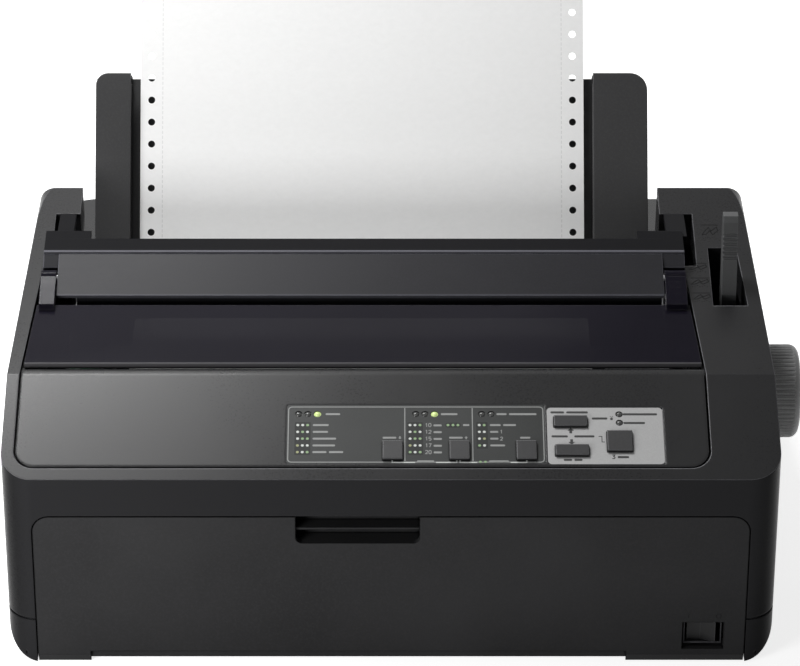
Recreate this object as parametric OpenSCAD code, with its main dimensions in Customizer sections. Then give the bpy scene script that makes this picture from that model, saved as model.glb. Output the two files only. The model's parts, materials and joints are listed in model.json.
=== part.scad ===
// Serial impact printer for fanfold paper, with a sheet loaded over its rear paper guide.
// X runs across the machine, Y from front to back, Z up from the desk.

/* [Case] */
// Width of the case, without the knob
body_w = 410; // [404:1:424]
// Depth of the case
body_d = 350; // [346:1:366]
// Wall of the plastic shells
wall = 2.8; // [2.4:0.1:3.2]
// Height of the rubber feet below the case
foot_h = 1.5; // [1:0.1:2.5]
// Height of the joint between lower case and upper housing
split_z = 28; // [26:1:34]
// Height of the front wall, up to the crease below the control panel
front_h = 114.5; // [112:0.5:122]
// Depth of the control panel slope, measured level
panel_run = 65.2; // [64:0.2:68]
// Slope of the control panel, degrees
panel_tilt = 22.5; // [21.5:0.5:25]
// Slope of the top from the ridge to the hump, degrees
top_tilt = 12.5; // [12:0.1:13.2]
// Distance from the front face back to the hump
hump_back = 220; // [217:1:223]
// Rise of the rear deck above the platen's axis, at its front
deck_rise = 16; // [13:1:17]
// Fall of the rear deck towards the back
deck_fall = 12; // [8:1:14]
// Inward lean of the upper side walls, degrees
side_lean = 14; // [12:0.5:15]
// Inward taper of the side walls behind the ridge, degrees
side_taper = 2.5; // [2:0.1:2.8]
// Radius of the upright corners
corner_r = 17; // [12:1:20]
// Radius of the hump's outer corners
hump_r = 9; // [5:1:10]
// Radius of the lower side edges
sole_r = 18; // [12:1:20]
// Gap round the lids and panels that drop into the housing
seam = 1.2; // [0.9:0.1:1.4]

/* [Front door] */
// Width of the door
door_w = 377.6; // [366:0.2:378]
// Height of the door's top edge
door_top = 91.8; // [88:0.2:94]
// Radius of the door's top corners
door_r = 9; // [5:0.5:12]
// Width of the finger notch
notch_w = 65.5; // [50:0.5:80]
// Height of the finger notch
notch_h = 16; // [12:0.5:20]
// Depth of the pocket behind the notch
notch_depth = 11; // [8:0.5:12]

/* [Platen and paper] */
// Distance from the front face back to the platen
platen_back = 121; // [120:0.5:122]
// Height of the platen's axis
platen_z = 100; // [99:0.5:101]
// Radius of the platen
platen_r = 17; // [16:0.25:17.5]
// Radius of the platen shaft
shaft_r = 5; // [4:0.5:6]
// Running clearance of shafts in their bores, on the radius
run_fit = 0.05; // [0.03:0.01:0.08]
// Width of the fanfold paper
paper_w = 254; // [250:0.5:255]
// Thickness of the paper, with its air
paper_t = 0.3; // [0.2:0.05:0.5]
// Pitch of the feed holes
hole_pitch = 12.7; // [12:0.1:13]
// Radius of the feed holes
hole_r = 2; // [1.9:0.05:2.2]
// Height of the sheet above the guide's hinge, along the slope
paper_rise = 154.6; // [140:0.2:165]
// Radius of the knob
knob_r = 25.7; // [20:0.1:27]
// Reach of the knob out of the case
knob_out = 19; // [15:0.5:24]

/* [Paper guide] */
// Lean of the paper guide from upright, degrees
guide_lean = 33; // [31:0.5:36]
// Height of the guide's plate above its hinge, along the slope
guide_len = 106; // [95:1:110]
// Width of the left edge guide
edge_left_w = 20; // [16:0.5:22]
// Width of the right edge guide
edge_right_w = 31; // [24:0.5:32]

/* [Controls] */
// Width of a square key
key_w = 10.5; // [9:0.1:12]
// Depth of a square key, along the slope
key_d = 12; // [10:0.1:13]
// Height of a key above its plate
key_up = 1.6; // [1.2:0.1:2.2]
// Travel of a key
key_travel = 0.8; // [0.5:0.1:1]
// Width of the rocker of the mains switch
rocker_w = 18.6; // [16:0.1:19]
// Height of the rocker of the mains switch
rocker_h = 12.4; // [10:0.1:13]
// Height of the paper release lever above its pivot
lever_len = 80; // [70:1:84]
// Width of the paper release lever
lever_w = 8; // [6:0.5:9]

/* [Mechanism] */
// Thickness of the steel side frames
frame_t = 2; // [1.5:0.1:2.5]
// Module of the feed gears
gear_m = 1.5; // [1.45:0.01:1.52]
// Thickness of the feed gears
gear_t = 6; // [4:0.5:8]
// Radius of the carriage's guide rod
rod_r = 6; // [5:0.25:7]
// Half width of the print carriage
carriage_half = 24; // [20:1:26]
// Radius of the belt pulleys
pulley_r = 8; // [6:0.5:9]
// Radius of the pinch roller
pinch_r = 6; // [5:0.25:6.5]

/* [Hidden] */
$fn = 64;

// the origin lies under the middle of the whole machine, knob included
case_x = -knob_out / 2;
half_w = body_w / 2;
front_y = -body_d / 2;
back_y = body_d / 2;
eps = 0.01;
fit = 0.3;

// side outline of the case
deck_h = platen_z + deck_rise;
ridge_y = front_y + panel_run;
ridge_z = front_h + panel_run * tan(panel_tilt);
hump_y = front_y + hump_back;
hump_z = ridge_z + (hump_y - ridge_y) * tan(top_tilt);
deck_y = hump_y + 8;
case_outline = [[front_y, foot_h], [front_y, front_h], [ridge_y, ridge_z], [hump_y, hump_z],
                [deck_y, deck_h], [back_y, deck_h - deck_fall], [back_y, foot_h]];
function top_z(y) = ridge_z + (y - ridge_y) * tan(top_tilt);
function deck_z(y) = deck_h - deck_fall * (y - deck_y) / (back_y - deck_y);

// front outline of the case: upright sides that lean in above the ridge
lean_in = (hump_z - ridge_z) * tan(side_lean);
front_outline = [[-half_w, foot_h], [-half_w, ridge_z], [lean_in - half_w, hump_z],
                 [half_w - lean_in, hump_z], [half_w, ridge_z], [half_w, foot_h]];
front_radii = [sole_r, 0, hump_r, hump_r, 0, sole_r];

// plan of the case: sides that close in behind the ridge
taper_in = (back_y - ridge_y) * tan(side_taper);
plan_outline = [[-half_w, front_y], [-half_w, ridge_y], [taper_in - half_w, back_y],
                [half_w - taper_in, back_y], [half_w, ridge_y], [half_w, front_y]];
plan_radii = [corner_r, 0, corner_r, corner_r, 0, corner_r];

// opening in the top of the housing, in plan
rim_left = 6.6 - half_w;
rim_right = half_w - 36.8;
rim_front = front_y + 7.1;
rim_r = 11;
rim_taper = 0.077;
latch_y = hump_y - 67;
step_y = hump_y - 23;
well_left = 31 - half_w;
well_right = half_w - 54.7;
latch_right = half_w - 36.5;
latch_left = 17.4 - half_w;
function rim_in(y) = rim_taper * max(0, y - ridge_y);

// platen, paper path and feed
platen_y = front_y + platen_back;
paper_x = -16.6;
paper_lo = paper_x - paper_w / 2;
paper_hi = paper_x + paper_w / 2;
paper_gap = 0.15;
wrap_r = platen_r + paper_gap + paper_t / 2;
run_top = platen_z + wrap_r;
run_low = platen_z - wrap_r;
hole_x = paper_w / 2 - hole_pitch / 2;
tractor_y = platen_y + 149;
tail_y = tractor_y + 34;

// paper guide, hinged on the deck
guide_y = deck_y + 3;
guide_z = deck_h + 6;
paper_off = 9.5;
bend_r = 30;
bend_turn = 90 - guide_lean;
bend_u = (run_top - guide_z - paper_off * sin(guide_lean)) / cos(guide_lean);
bend_y = guide_y + bend_u * sin(guide_lean) - paper_off * cos(guide_lean)
         - bend_r * tan(bend_turn / 2);
slope_u = bend_u + bend_r * tan(bend_turn / 2);
first_hole_u = slope_u + 12.4;
plate_front = 5;
plate_t = 3;

// side frames, gears and shafts
frame_left = well_left;
frame_right = well_right + 0.2;
frame_floor = foot_h + wall + 3.7;
gear_x = frame_right + frame_t + 3;
platen_teeth = 34;
tractor_teeth = 24;
pinion_teeth = 14;
front_teeth = 38;
rear_teeth = 40;
function pitch_r(teeth) = gear_m * teeth / 2;
tractor_z = run_low - 12.1;
platen_at = [platen_y, platen_z];
tractor_at = [tractor_y, tractor_z];
motor_turn = -45;
front_turn = 12;
function away(turn, reach) = reach * [cos(turn), sin(turn)];
pinion_at = platen_at + away(motor_turn, pitch_r(platen_teeth) + pitch_r(pinion_teeth));
front_at = platen_at + away(front_turn, pitch_r(platen_teeth) + pitch_r(front_teeth));
// centre that lies ra from a and rb from b, on the lower side of the line a to b
function third(a, ra, b, rb) =
    let (d = norm(b - a), u = (b - a) / d, s = (d * d + ra * ra - rb * rb) / (2 * d))
    a + s * u + sqrt(max(0, ra * ra - s * s)) * [u.y, -u.x];
rear_at = third(front_at, pitch_r(front_teeth) + pitch_r(rear_teeth),
                tractor_at, pitch_r(rear_teeth) + pitch_r(tractor_teeth));
function turn_of(v) = atan2(v.y, v.x);
// phase of a gear that meshes with one whose phase is known
function mesh(a, za, phase_a, b, zb) =
    let (line = turn_of(b - a))
    line + 180 + 180 / zb + (line - phase_a) * za / zb;
platen_phase = 0;
pinion_phase = mesh(platen_at, platen_teeth, platen_phase, pinion_at, pinion_teeth);
front_phase = mesh(platen_at, platen_teeth, platen_phase, front_at, front_teeth);
rear_phase = mesh(front_at, front_teeth, front_phase, rear_at, rear_teeth);
tractor_phase = mesh(rear_at, rear_teeth, rear_phase, tractor_at, tractor_teeth);

pinch_at = [platen_y, platen_z - wrap_r - paper_t / 2 - paper_gap - pinch_r];
pinch_shaft_r = 3;
stud_r = 3;
tractor_shaft_r = 4;
support_at = [tractor_y + 19, tractor_z - 4.5];

// carriage
rod_at = [platen_y - 41, platen_z - 20];
belt_y = rod_at.x - 2;
belt_low = rod_at.y - 20;
belt_w = 6;
belt_t = 1.2;
cartridge_left = frame_left + 8;
cartridge_right = frame_right - 8.5;
arm_w = 14;
home_x = cartridge_left + arm_w + carriage_half + 2;
drive_x = frame_left + 18;
tail_x = frame_right - 16.5;
beam_z = rod_at.y - 4;

// printer cover hinge
pin_r = 1.6;
knuckle_r = 4.2;
cover_pin = [hump_y - 81, hump_z - 15];
cover_split = ridge_y + 7.5;
groove_w = 4.2;
window_back = cover_pin.x - 18.5;
window_t = 2.4;
arm_left = [rim_left + 6.8, rim_left + 15.2];
arm_right = [rim_right - 18.4, rim_right - 6.8];

// door
door_pin = [front_y + 3.5, foot_h + 5];
door_pin_r = 2;
door_t = 3.2;
door_gap = 0.6;
notch_x = -17.6;
switch_at = [door_w / 2 - 22.2, 18];
switch_open = [22.2, 16.6];

// lever
lever_pivot = [platen_y + 16, platen_z + 18];
lever_x = half_w - 20;
lever_base_z = top_z(lever_pivot.x);
lever_slot = [lever_pivot.x - 17, lever_pivot.x + 31];

// panel: sizes along X and along the slope, counted from the crease
legend_area = [[-55, 11], [81.2, 49.6]];
silver_area = [[82.4, 10.4], [143.6, 47.8]];
label_t = 0.5;
square_keys = [0.8, 36, 71.2];
key_row = 19;
load_at = [94.8, 38.2];
feed_at = [95.2, 19];
bar_key = [17.6, 6.8];
pause_at = [120.4, 25];
pause_key = [13.2, 13.2];
lamp_r = 1.9;
lamps = [[-48.9, 43.6], [-44, 43.6], [-38.9, 43.6], [13.1, 43.6], [17.9, 43.6], [23, 43.6],
         [48, 43.6], [53, 43.6], [120.7, 43.4], [120.7, 37.8]];
board_drop = 13;
board_t = 1.6;
board_area = [[-62, 11], [150, 54]];
posts = [[-58, 51], [146, 51], [-58, 15], [146, 15]];

// boards and boxes on the chassis
chassis_top = frame_floor + frame_t;
board_z = chassis_top + 6;

//---------------------------------------------------------------- helpers

module placed() { translate([case_x, 0, 0]) children(); }

module block(lo, hi) { translate(lo) cube(hi - lo); }

// extrudes a side view (drawn as y, z) from x0 to x1
module along_x(x0, x1) { translate([x0, 0, 0]) rotate([90, 0, 90]) linear_extrude(x1 - x0) children(); }

// extrudes a front view (drawn as x, z) from y0 to y1
module along_y(y0, y1) { translate([0, y1, 0]) rotate([90, 0, 0]) linear_extrude(y1 - y0) children(); }

module along_z(z0, z1) { translate([0, 0, z0]) linear_extrude(z1 - z0) children(); }

module rod_x(x0, x1, at, r) { along_x(x0, x1) translate(at) circle(r); }

module rod_y(y0, y1, at, r) { along_y(y0, y1) translate(at) circle(r); }

module rod_z(z0, z1, at, r) { along_z(z0, z1) translate(at) circle(r); }

function unit(v) = v / norm(v);
function right_of(a, b) = let (u = unit(b - a)) [u.y, -u.x];
// a clockwise outline moved inward by d, with its corners kept sharp
function inset(p, d) =
    [for (i = [0 : len(p) - 1])
        let (n = len(p), m1 = right_of(p[(i + n - 1) % n], p[i]), m2 = right_of(p[i], p[(i + 1) % n]))
        p[i] + d * (m1 + m2) / (1 + m1 * m2)];

module round_square(lo, hi, r) {
    translate([lo.x + r, lo.y]) square([hi.x - lo.x - 2 * r, hi.y - lo.y]);
    translate([lo.x, lo.y + r]) square([hi.x - lo.x, hi.y - lo.y - 2 * r]);
    for (x = [lo.x + r, hi.x - r], y = [lo.y + r, hi.y - r]) translate([x, y]) circle(r);
}

// a clockwise outline moved inward by d, with a radius for each of its corners
module rounded(p, radii, d) {
    n = len(p);
    sharp = inset(p, d);
    centre = [for (i = [0 : n - 1]) inset(p, radii[i])[i]];
    polygon([for (i = [0 : n - 1]) each radii[i] == 0 ? [sharp[i]] : [for (k = [i + n - 1, i])
        centre[i] - (radii[i] - d) * right_of(p[k % n], p[(k + 1) % n])]]);
    for (i = [0 : n - 1]) if (radii[i] > 0) translate(centre[i]) circle(radii[i] - d);
}

// the case as a solid, moved inward by d
module case_solid(d) {
    intersection() {
        along_x(-half_w, half_w) polygon(inset(case_outline, d));
        along_z(0, hump_z + 1) rounded(plan_outline, plan_radii, d);
        along_y(front_y, back_y) rounded(front_outline, front_radii, d);
    }
}

module shell() {
    difference() {
        case_solid(0);
        case_solid(wall);
    }
}

// the tray below the joint of the two halves, moved inward by d
module tray_solid(d) {
    intersection() {
        along_z(foot_h + d, split_z + 5) rounded(plan_outline, plan_radii, d);
        along_y(front_y - 1, back_y + 1) rounded(front_outline, front_radii, d);
    }
}

// the opening in the top, in plan, grown by g
module rim(g) {
    left = rim_left - g;
    right = rim_right + g;
    front = rim_front - g;
    r = rim_r + g;
    translate([left + r, front + r]) circle(r);
    translate([right - r, front + r]) circle(r);
    polygon([[left + r, front], [left, front + r], [left, ridge_y],
             [left + rim_in(step_y - 15.5), step_y - 15.5], [latch_left - g, step_y - 15.5],
             [latch_left - g, step_y + g], [well_left - g, step_y + g], [well_left - g, deck_y],
             [well_right + g, deck_y], [well_right + g, step_y + g], [latch_right + g, step_y + g],
             [latch_right + g, latch_y], [right - rim_in(latch_y), latch_y], [right, ridge_y],
             [right, front + r], [right - r, front]]);
}

module panel_place() { translate([0, front_y, front_h]) rotate([panel_tilt, 0, 0]) children(); }

module guide_place() { translate([0, guide_y, guide_z]) rotate([-guide_lean, 0, 0]) children(); }

// a box on the guide: x, height w above the hinge line towards the paper, u up the slope
module guide_block(x, w, u) {
    translate([x[0], -w[1], u[0]]) cube([x[1] - x[0], w[1] - w[0], u[1] - u[0]]);
}

module flat_box(area, lo, hi) {
    translate([area[0].x, area[0].y, lo]) cube([area[1].x - area[0].x, area[1].y - area[0].y, hi - lo]);
}

// outline of an involute gear with a tooth centred on the angle phase
module gear_outline(teeth, phase) {
    r = pitch_r(teeth);
    base = r * cos(20);
    tip = r + 0.9 * gear_m;
    root = r - 1.25 * gear_m;
    slack = 0.16;
    function spread(q) = let (roll = sqrt(max(0, q * q / (base * base) - 1))) roll * 180 / PI - atan(roll);
    function half(q) = 90 / teeth - slack / r * 90 / PI + spread(r) - spread(q);
    low = max(base, root + 0.1);
    flank = [low, (low + r) / 2, r, (r + tip) / 2, tip];
    polygon([for (k = [0 : teeth - 1])
        let (mid = phase + k * 360 / teeth)
        each concat([away(mid - half(low), root)], [for (q = flank) away(mid - half(q), q)],
                    [for (i = [len(flank) - 1 : -1 : 0]) away(mid + half(flank[i]), flank[i])],
                    [away(mid + half(low), root)])]);
}

module gear(at, teeth, phase, bore) {
    hub = bore + 3.5;
    difference() {
        union() {
            along_x(gear_x, gear_x + gear_t) translate(at) gear_outline(teeth, phase);
            rod_x(gear_x - 1.5, gear_x + gear_t + 1.5, at, hub);
        }
        rod_x(gear_x - 3, gear_x + gear_t + 3, at, bore);
        if (teeth > 20) {
            for (x = [gear_x - eps, gear_x + gear_t - 1.5]) difference() {
                rod_x(x, x + 1.5 + eps, at, pitch_r(teeth) - 4);
                rod_x(x - 1, x + 3, at, hub);
            }
        }
    }
}

//---------------------------------------------------------------- case

// places of the screws that join the case halves, and of the chassis feet
case_screws = [for (x = [22.5 - half_w, half_w - 22.5], y = [front_y + 62, back_y - 20]) [x, y]];
chassis_feet = [for (x = [frame_left + 14, frame_right - 14], y = [front_y + 52, back_y - 40]) [x, y]];
foot_spots = [for (x = [34 - half_w, half_w - 34], y = [front_y + 30, back_y - 30]) [x, y]];
foot_r = 9;
door_half = door_w / 2 + door_gap;
floor_z = foot_h + wall;

module door_opening(z0) {
    along_y(front_y - 1, front_y + 10) {
        round_square([-door_half, z0 - 40], [door_half, door_top + door_gap], door_r + door_gap);
    }
}

inlet_x = [half_w - 59, half_w - 31];
inlet_z = [16, 36.5];
module inlet_hole(g) {
    block([inlet_x[0] - g, back_y - 26, inlet_z[0] - g], [inlet_x[1] + g, back_y + 1, inlet_z[1] + g]);
}

module lower_case() {
    color([0.14, 0.14, 0.15]) placed() difference() {
        union() {
            intersection() {
                union() {
                    difference() {
                        tray_solid(0);
                        tray_solid(wall);
                        block([-door_half, front_y - 1, 0], [door_half, front_y + 10, split_z + 9]);
                    }
                    // sill behind the door
                    block([-half_w + 12, front_y + 10, foot_h], [half_w - 12, front_y + 13, 9.5]);
                    // hinge cheeks beside the door
                    for (s = [-1, 1]) translate([s * (door_half + 4), 0, 0])
                        block([-4, front_y, foot_h], [4, front_y + 13, 16]);
                }
                tray_solid(0);
                block([-half_w - 1, front_y - 1, 0], [half_w + 1, back_y + 1, split_z]);
            }
            for (p = case_screws) rod_z(floor_z - eps, split_z, p, 6);
            for (p = chassis_feet) rod_z(floor_z - eps, frame_floor, p, 6);
            for (p = foot_spots) rod_z(floor_z - eps, floor_z + 1.4, p, foot_r + 2);
        }
        for (p = case_screws) {
            rod_z(0, split_z + 1, p, 1.9);
            rod_z(0, split_z - 8, p, 3.8);
        }
        for (p = chassis_feet) rod_z(frame_floor - 3.2, frame_floor + 1, p, 1.7);
        for (p = foot_spots) rod_z(0, foot_h + 2, p, foot_r);
        for (s = [-1, 1]) rod_x(s * (door_half + 2.5) - 3.5, s * (door_half + 2.5) + 3.5, door_pin,
                                door_pin_r + run_fit);
        inlet_hole(fit);
        ports_hole();
        // floor vents under the power supply
        for (i = [0 : 6]) block([20 + 14 * i, 20, 0], [24 + 14 * i, 90, floor_z + 1]);
        // groove round the joint of the two halves
        joint_groove();
    }
}

module joint_groove() {
    difference() {
        block([-half_w - 1, front_y - 1, split_z - 0.5], [half_w + 1, back_y + 1, split_z + 1]);
        case_solid(0.6);
    }
}

module ports_hole() {
    block([board_x[0] + 3, back_y - 4, 16], [board_x[1] - 35, back_y + 1, 31]);
}

// slot of the lever, narrower at the back, where the side wall closes in
module lever_trough(g, z0, z1) {
    along_z(z0, z1) polygon([[lever_x - 9.4 - g, lever_slot[0] - g], [lever_x - 9.4 - g, lever_slot[1] + g],
                             [lever_x + 6.2 + g, lever_slot[1] + g], [lever_x + 9.4 + g, lever_slot[0] - g]]);
}

deck_bay = [[paper_lo - 22, deck_y + 22], [paper_hi + 22, back_y - 24]];
rear_slot = [[paper_lo - 9, run_low - 7], [paper_hi + 9, run_low + 9]];

module upper_housing() {
    color([0.17, 0.17, 0.18]) placed() difference() {
        union() {
            intersection() {
                union() {
                    difference() {
                        shell();
                        along_z(front_h - 20, hump_z + 2) rim(0);
                    }
                    // ledge that carries the control panel and the printer cover
                    intersection() {
                        difference() {
                            case_solid(wall - 0.4);
                            case_solid(wall + 2);
                            difference() {
                                along_z(front_h - 20, hump_z + 2) rim(0);
                                case_solid(wall);
                            }
                        }
                        difference() {
                            along_z(front_h - 20, hump_z) rim(3);
                            along_z(front_h - 21, hump_z + 1) rim(-2.6);
                            block([-half_w, window_back - 6, 0], [half_w, back_y, 200]);
                            block([rim_left + 10, cover_split - 25, 0], [rim_right - 10, back_y, 200]);
                        }
                    }
                    // inner walls of the two cheeks
                    intersection() {
                        case_solid(0);
                        union() {
                            block([well_left - wall, step_y, hump_z - 31], [well_left, deck_y, 200]);
                            block([well_right, step_y, hump_z - 31], [well_right + wall, deck_y, 200]);
                            block([latch_left - 1, step_y, hump_z - 24], [well_left, step_y + wall, 200]);
                            block([well_right, step_y, hump_z - 24],
                                  [latch_right + wall, step_y + wall, 200]);
                            block([latch_right, latch_y - wall, hump_z - 24],
                                  [latch_right + wall, step_y + wall, 200]);
                        }
                    }
                    // walls of the lever trough
                    intersection() {
                        case_solid(0);
                        difference() {
                            lever_trough(wall * 0.6, lever_base_z - 16, 200);
                            lever_trough(0, 0, 201);
                        }
                    }
                    // rim of the deck bay
                    intersection() {
                        case_solid(0);
                        difference() {
                            block([deck_bay[0].x - 2, deck_bay[0].y - 2, deck_h - 9],
                                  [deck_bay[1].x + 2, deck_bay[1].y + 2, deck_h]);
                            block([deck_bay[0].x, deck_bay[0].y, 0], [deck_bay[1].x, deck_bay[1].y, 200]);
                        }
                    }
                }
                case_solid(0);
                block([-half_w - 1, front_y - 1, split_z], [half_w + 1, back_y + 1, 200]);
            }
            // screw lugs on the side walls
            for (p = case_screws) intersection() {
                block([min(p.x * 2, p.x - 5), p.y - 6, split_z],
                      [max(p.x * 2, p.x + 5), p.y + 6, split_z + 4]);
                case_solid(wall / 2);
            }
            // boss of the lever's pivot pin
            intersection() {
                case_solid(wall / 2);
                rod_x(lever_x + 5.4, half_w, lever_pivot, 6);
            }
            // ears of the paper guide's hinge
            for (x = [well_left + fit, well_right - 4 - fit]) guide_ear(x);
        }
        door_opening(split_z);
        lever_trough(0, lever_base_z - 10, 200);
        rod_x(half_w - 10, half_w + 1, platen_at, knob_neck_r + 1);
        rod_x(lever_x + 4, lever_x + 14, lever_pivot, 3);
        for (x = [well_left - 1, well_right - 6])
            rod_x(x, x + 7, [guide_y, guide_z], guide_pin_r + run_fit);
        block([deck_bay[0].x, deck_bay[0].y, 90], [deck_bay[1].x, deck_bay[1].y, 200]);
        block([rear_slot[0].x, back_y - wall - 1, rear_slot[0].y],
              [rear_slot[1].x, back_y + 1, rear_slot[1].y]);
        for (p = case_screws) rod_z(split_z - 1, split_z + 5, p, 1.6);
        inlet_hole(fit);
        ports_hole();
        joint_groove();
        // vent slots in the rear wall
        for (i = [0 : 11]) block([-60 + 12 * i, back_y - wall - 1, 42], [-56 + 12 * i, back_y + 1, 62]);
    }
}

guide_pin_r = 2;
knob_neck_r = 12;

module guide_ear(x) {
    along_x(x, x + 4) {
        translate([guide_y, guide_z]) circle(4.4);
        polygon([[guide_y - 4.4, guide_z], [guide_y + 4.4, guide_z], [guide_y + 9, deck_z(guide_y + 9) - 1],
                 [guide_y - 2.6, deck_h - 2]]);
    }
}

module front_inner_panel() {
    slot_z = beam_z - 16;
    color([0.1, 0.1, 0.11]) placed() difference() {
        union() {
            block([4 - half_w + wall, front_y + 16, floor_z + 9],
                  [half_w - 4 - wall, front_y + 18.6, front_h - 18]);
            block([22 - half_w, front_y + 16, floor_z], [half_w - 22, front_y + 18.6, floor_z + 9]);
            // ramp that leads a sheet from the front into the slot
            block([paper_lo - 4, front_y + 18.6, slot_z - 2], [paper_hi + 4, front_y + 26, slot_z]);
            for (x = [paper_lo - 4, paper_hi + 1]) block([x, front_y + 13.5, slot_z - 2],
                                                        [x + 3, front_y + 18.6, slot_z + 12]);
        }
        block([paper_lo - 3, front_y + 15, slot_z], [paper_hi + 3, front_y + 20, slot_z + 10]);
        switch_body(fit / 3);
    }
}

module switch_body(g) {
    block([switch_at.x - switch_open.x / 2 + 1 - g, front_y + 4, switch_at.y - switch_open.y / 2 + 1 - g],
          [switch_at.x + switch_open.x / 2 - 1 + g, front_y + 30, switch_at.y + switch_open.y / 2 - 1 + g]);
}

module power_switch_housing() {
    axis = [switch_at.x, front_y + 12];
    color([0.08, 0.08, 0.09]) placed() difference() {
        union() {
            switch_body(0);
            block([switch_at.x - 13, front_y + 18.6, switch_at.y - 9.6],
                  [switch_at.x + 13, front_y + 21, switch_at.y + 9.6]);
            for (x = [-5, 4]) block([switch_at.x + x, front_y + 29, switch_at.y - 3],
                                    [switch_at.x + x + 1, front_y + 36, switch_at.y + 3]);
        }
        block([switch_at.x - rocker_w / 2 - fit, front_y + 3, switch_at.y - rocker_h / 2 - fit],
              [switch_at.x + rocker_w / 2 + fit, front_y + 26, switch_at.y + rocker_h / 2 + fit]);
        rod_z(switch_at.y - rocker_h / 2 - 0.8, switch_at.y + rocker_h / 2 + 0.8, axis, 1.5 + run_fit);
    }
}

rocker_axis_y = front_y + 12;

// two flat faces that meet in a shallow V, on a pivot
module power_rocker() {
    reach = rocker_w / 2 - 1;
    color([0.2, 0.2, 0.21]) placed() translate([switch_at.x, rocker_axis_y, switch_at.y]) union() {
        intersection() {
            along_z(-rocker_h / 2, rocker_h / 2) rotate(rocker_rest) polygon([[-reach, -7.6], [0, -5.8],
                [reach, -7.6], [reach - 1, -2], [3, 3], [-3, 3], [1 - reach, -2]]);
            along_z(-rocker_h, rocker_h) circle(12);
            block([-reach, -13, -rocker_h], [reach, 10, rocker_h]);
        }
        rod_z(-rocker_h / 2 - 0.7, rocker_h / 2 + 0.7, [0, 0], 1.5);
    }
}
rocker_rest = -10;

module rubber_feet() {
    color([0.05, 0.05, 0.05]) placed() for (p = foot_spots) {
        rod_z(0, foot_h + 2, p, foot_r - 0.1);
    }
}

module screws() {
    color([0.6, 0.6, 0.62]) placed() {
        for (p = case_screws) {
            rod_z(split_z - 11, split_z - 8, p, 3.4);
            rod_z(split_z - 8, split_z + 4, p, 1.5);
        }
        for (p = chassis_feet) {
            rod_z(chassis_top, chassis_top + 2.2, p, 3.2);
            rod_z(frame_floor - 3, chassis_top, p, 1.6);
        }
        panel_place() for (p = posts) {
            translate([p.x, p.y, -board_drop - board_t - 2]) cylinder(r = 2.8, h = 2);
            translate([p.x, p.y, -board_drop - board_t]) cylinder(r = 1.3, h = board_t + 5);
        }
    }
}

module hinge_pins() {
    color([0.55, 0.55, 0.57]) placed() {
        rod_x(arm_left[0] + 0.4, arm_left[1] + 5.8, cover_pin, pin_r);
        rod_x(arm_right[0] - 5.8, arm_right[1] - 0.4, cover_pin, pin_r);
        rod_x(lever_x - 5, lever_x + 14, lever_pivot, 3);
    }
}

//---------------------------------------------------------------- door and covers

module front_door() {
    bevel = 5;
    low = foot_h - 0.5;
    skin = [[front_y, door_top], [front_y, low + bevel], [front_y + 2.2, low], [front_y + door_t, low],
            [front_y + door_t, door_top]];
    color([0.15, 0.15, 0.16]) placed() difference() {
        union() {
            intersection() {
                along_x(-door_w / 2, door_w / 2) polygon(skin);
                along_y(front_y - 1, front_y + 10)
                    round_square([-door_w / 2, low - 20], [door_w / 2, door_top], door_r);
            }
            // stiffening rim round the inner face
            for (z = [door_top - 10, 34]) block([-door_w / 2 + 20, front_y + door_t - eps, z],
                                                [door_w / 2 - 20, front_y + 6.5, z + 2]);
            for (s = [-1, 1]) translate([s * (door_w / 2 - 12), 0, 0])
                block([-1, front_y + door_t - eps, 34], [1, front_y + 6.5, door_top - 10]);
            // pocket behind the finger notch
            block([notch_x - notch_w / 2 - 2, front_y + 1, door_top - notch_h - 2],
                  [notch_x + notch_w / 2 + 2, front_y + notch_depth + 2, door_top]);
            for (s = [-1, 1]) rod_x(s * door_w / 2 - 5, s * door_w / 2 + 5, door_pin, door_pin_r);
        }
        // finger notch, its lower corners rounded, and the hollow behind it
        along_y(front_y - 1, front_y + 1 + door_t)
            round_square([notch_x - notch_w / 2, door_top - notch_h],
                         [notch_x + notch_w / 2, door_top + 20], 3.5);
        block([notch_x - notch_w / 2, front_y + door_t, door_top - notch_h],
              [notch_x + notch_w / 2, front_y + notch_depth, door_top + 1]);
        // window for the mains switch
        block([switch_at.x - switch_open.x / 2, front_y - 1, switch_at.y - switch_open.y / 2],
              [switch_at.x + switch_open.x / 2, front_y + 8, switch_at.y + switch_open.y / 2]);
        // raised lower edge between the two ends
        block([-160.7, front_y - 1, 0], [125.8, front_y + door_t - 1.2, 8]);
        block([-160.7, front_y - 1, 0], [125.8, front_y + door_t + 1, 3.4]);
    }
    // grip lip in the notch
    color([0.15, 0.15, 0.16]) placed()
        block([notch_x - notch_w / 2 - eps, front_y + 2.4, door_top - notch_h / 2 - 1.1],
              [notch_x + notch_w / 2 + eps, front_y + notch_depth + eps, door_top - notch_h / 2 + 0.3]);
}

// the part of the case's skin between two depths below its surface
module skin(d0, d1) {
    difference() {
        case_solid(d0);
        case_solid(d1);
    }
}

module key_holes(g) {
    for (x = square_keys) key_cut([x, key_row], [key_w, key_d], g);
    key_cut(load_at, bar_key, g);
    key_cut(feed_at, bar_key, g);
    key_cut(pause_at, pause_key, g);
}

module key_cut(at, size, g) {
    translate([at.x - size.x / 2 - g, at.y - size.y / 2 - g, -wall * 2])
        cube([size.x + 2 * g, size.y + 2 * g, wall * 4]);
}

module lamp_holes() {
    for (p = lamps) translate([p.x, p.y, -wall * 2]) cylinder(r = lamp_r + 0.1, h = wall * 4);
}

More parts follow.
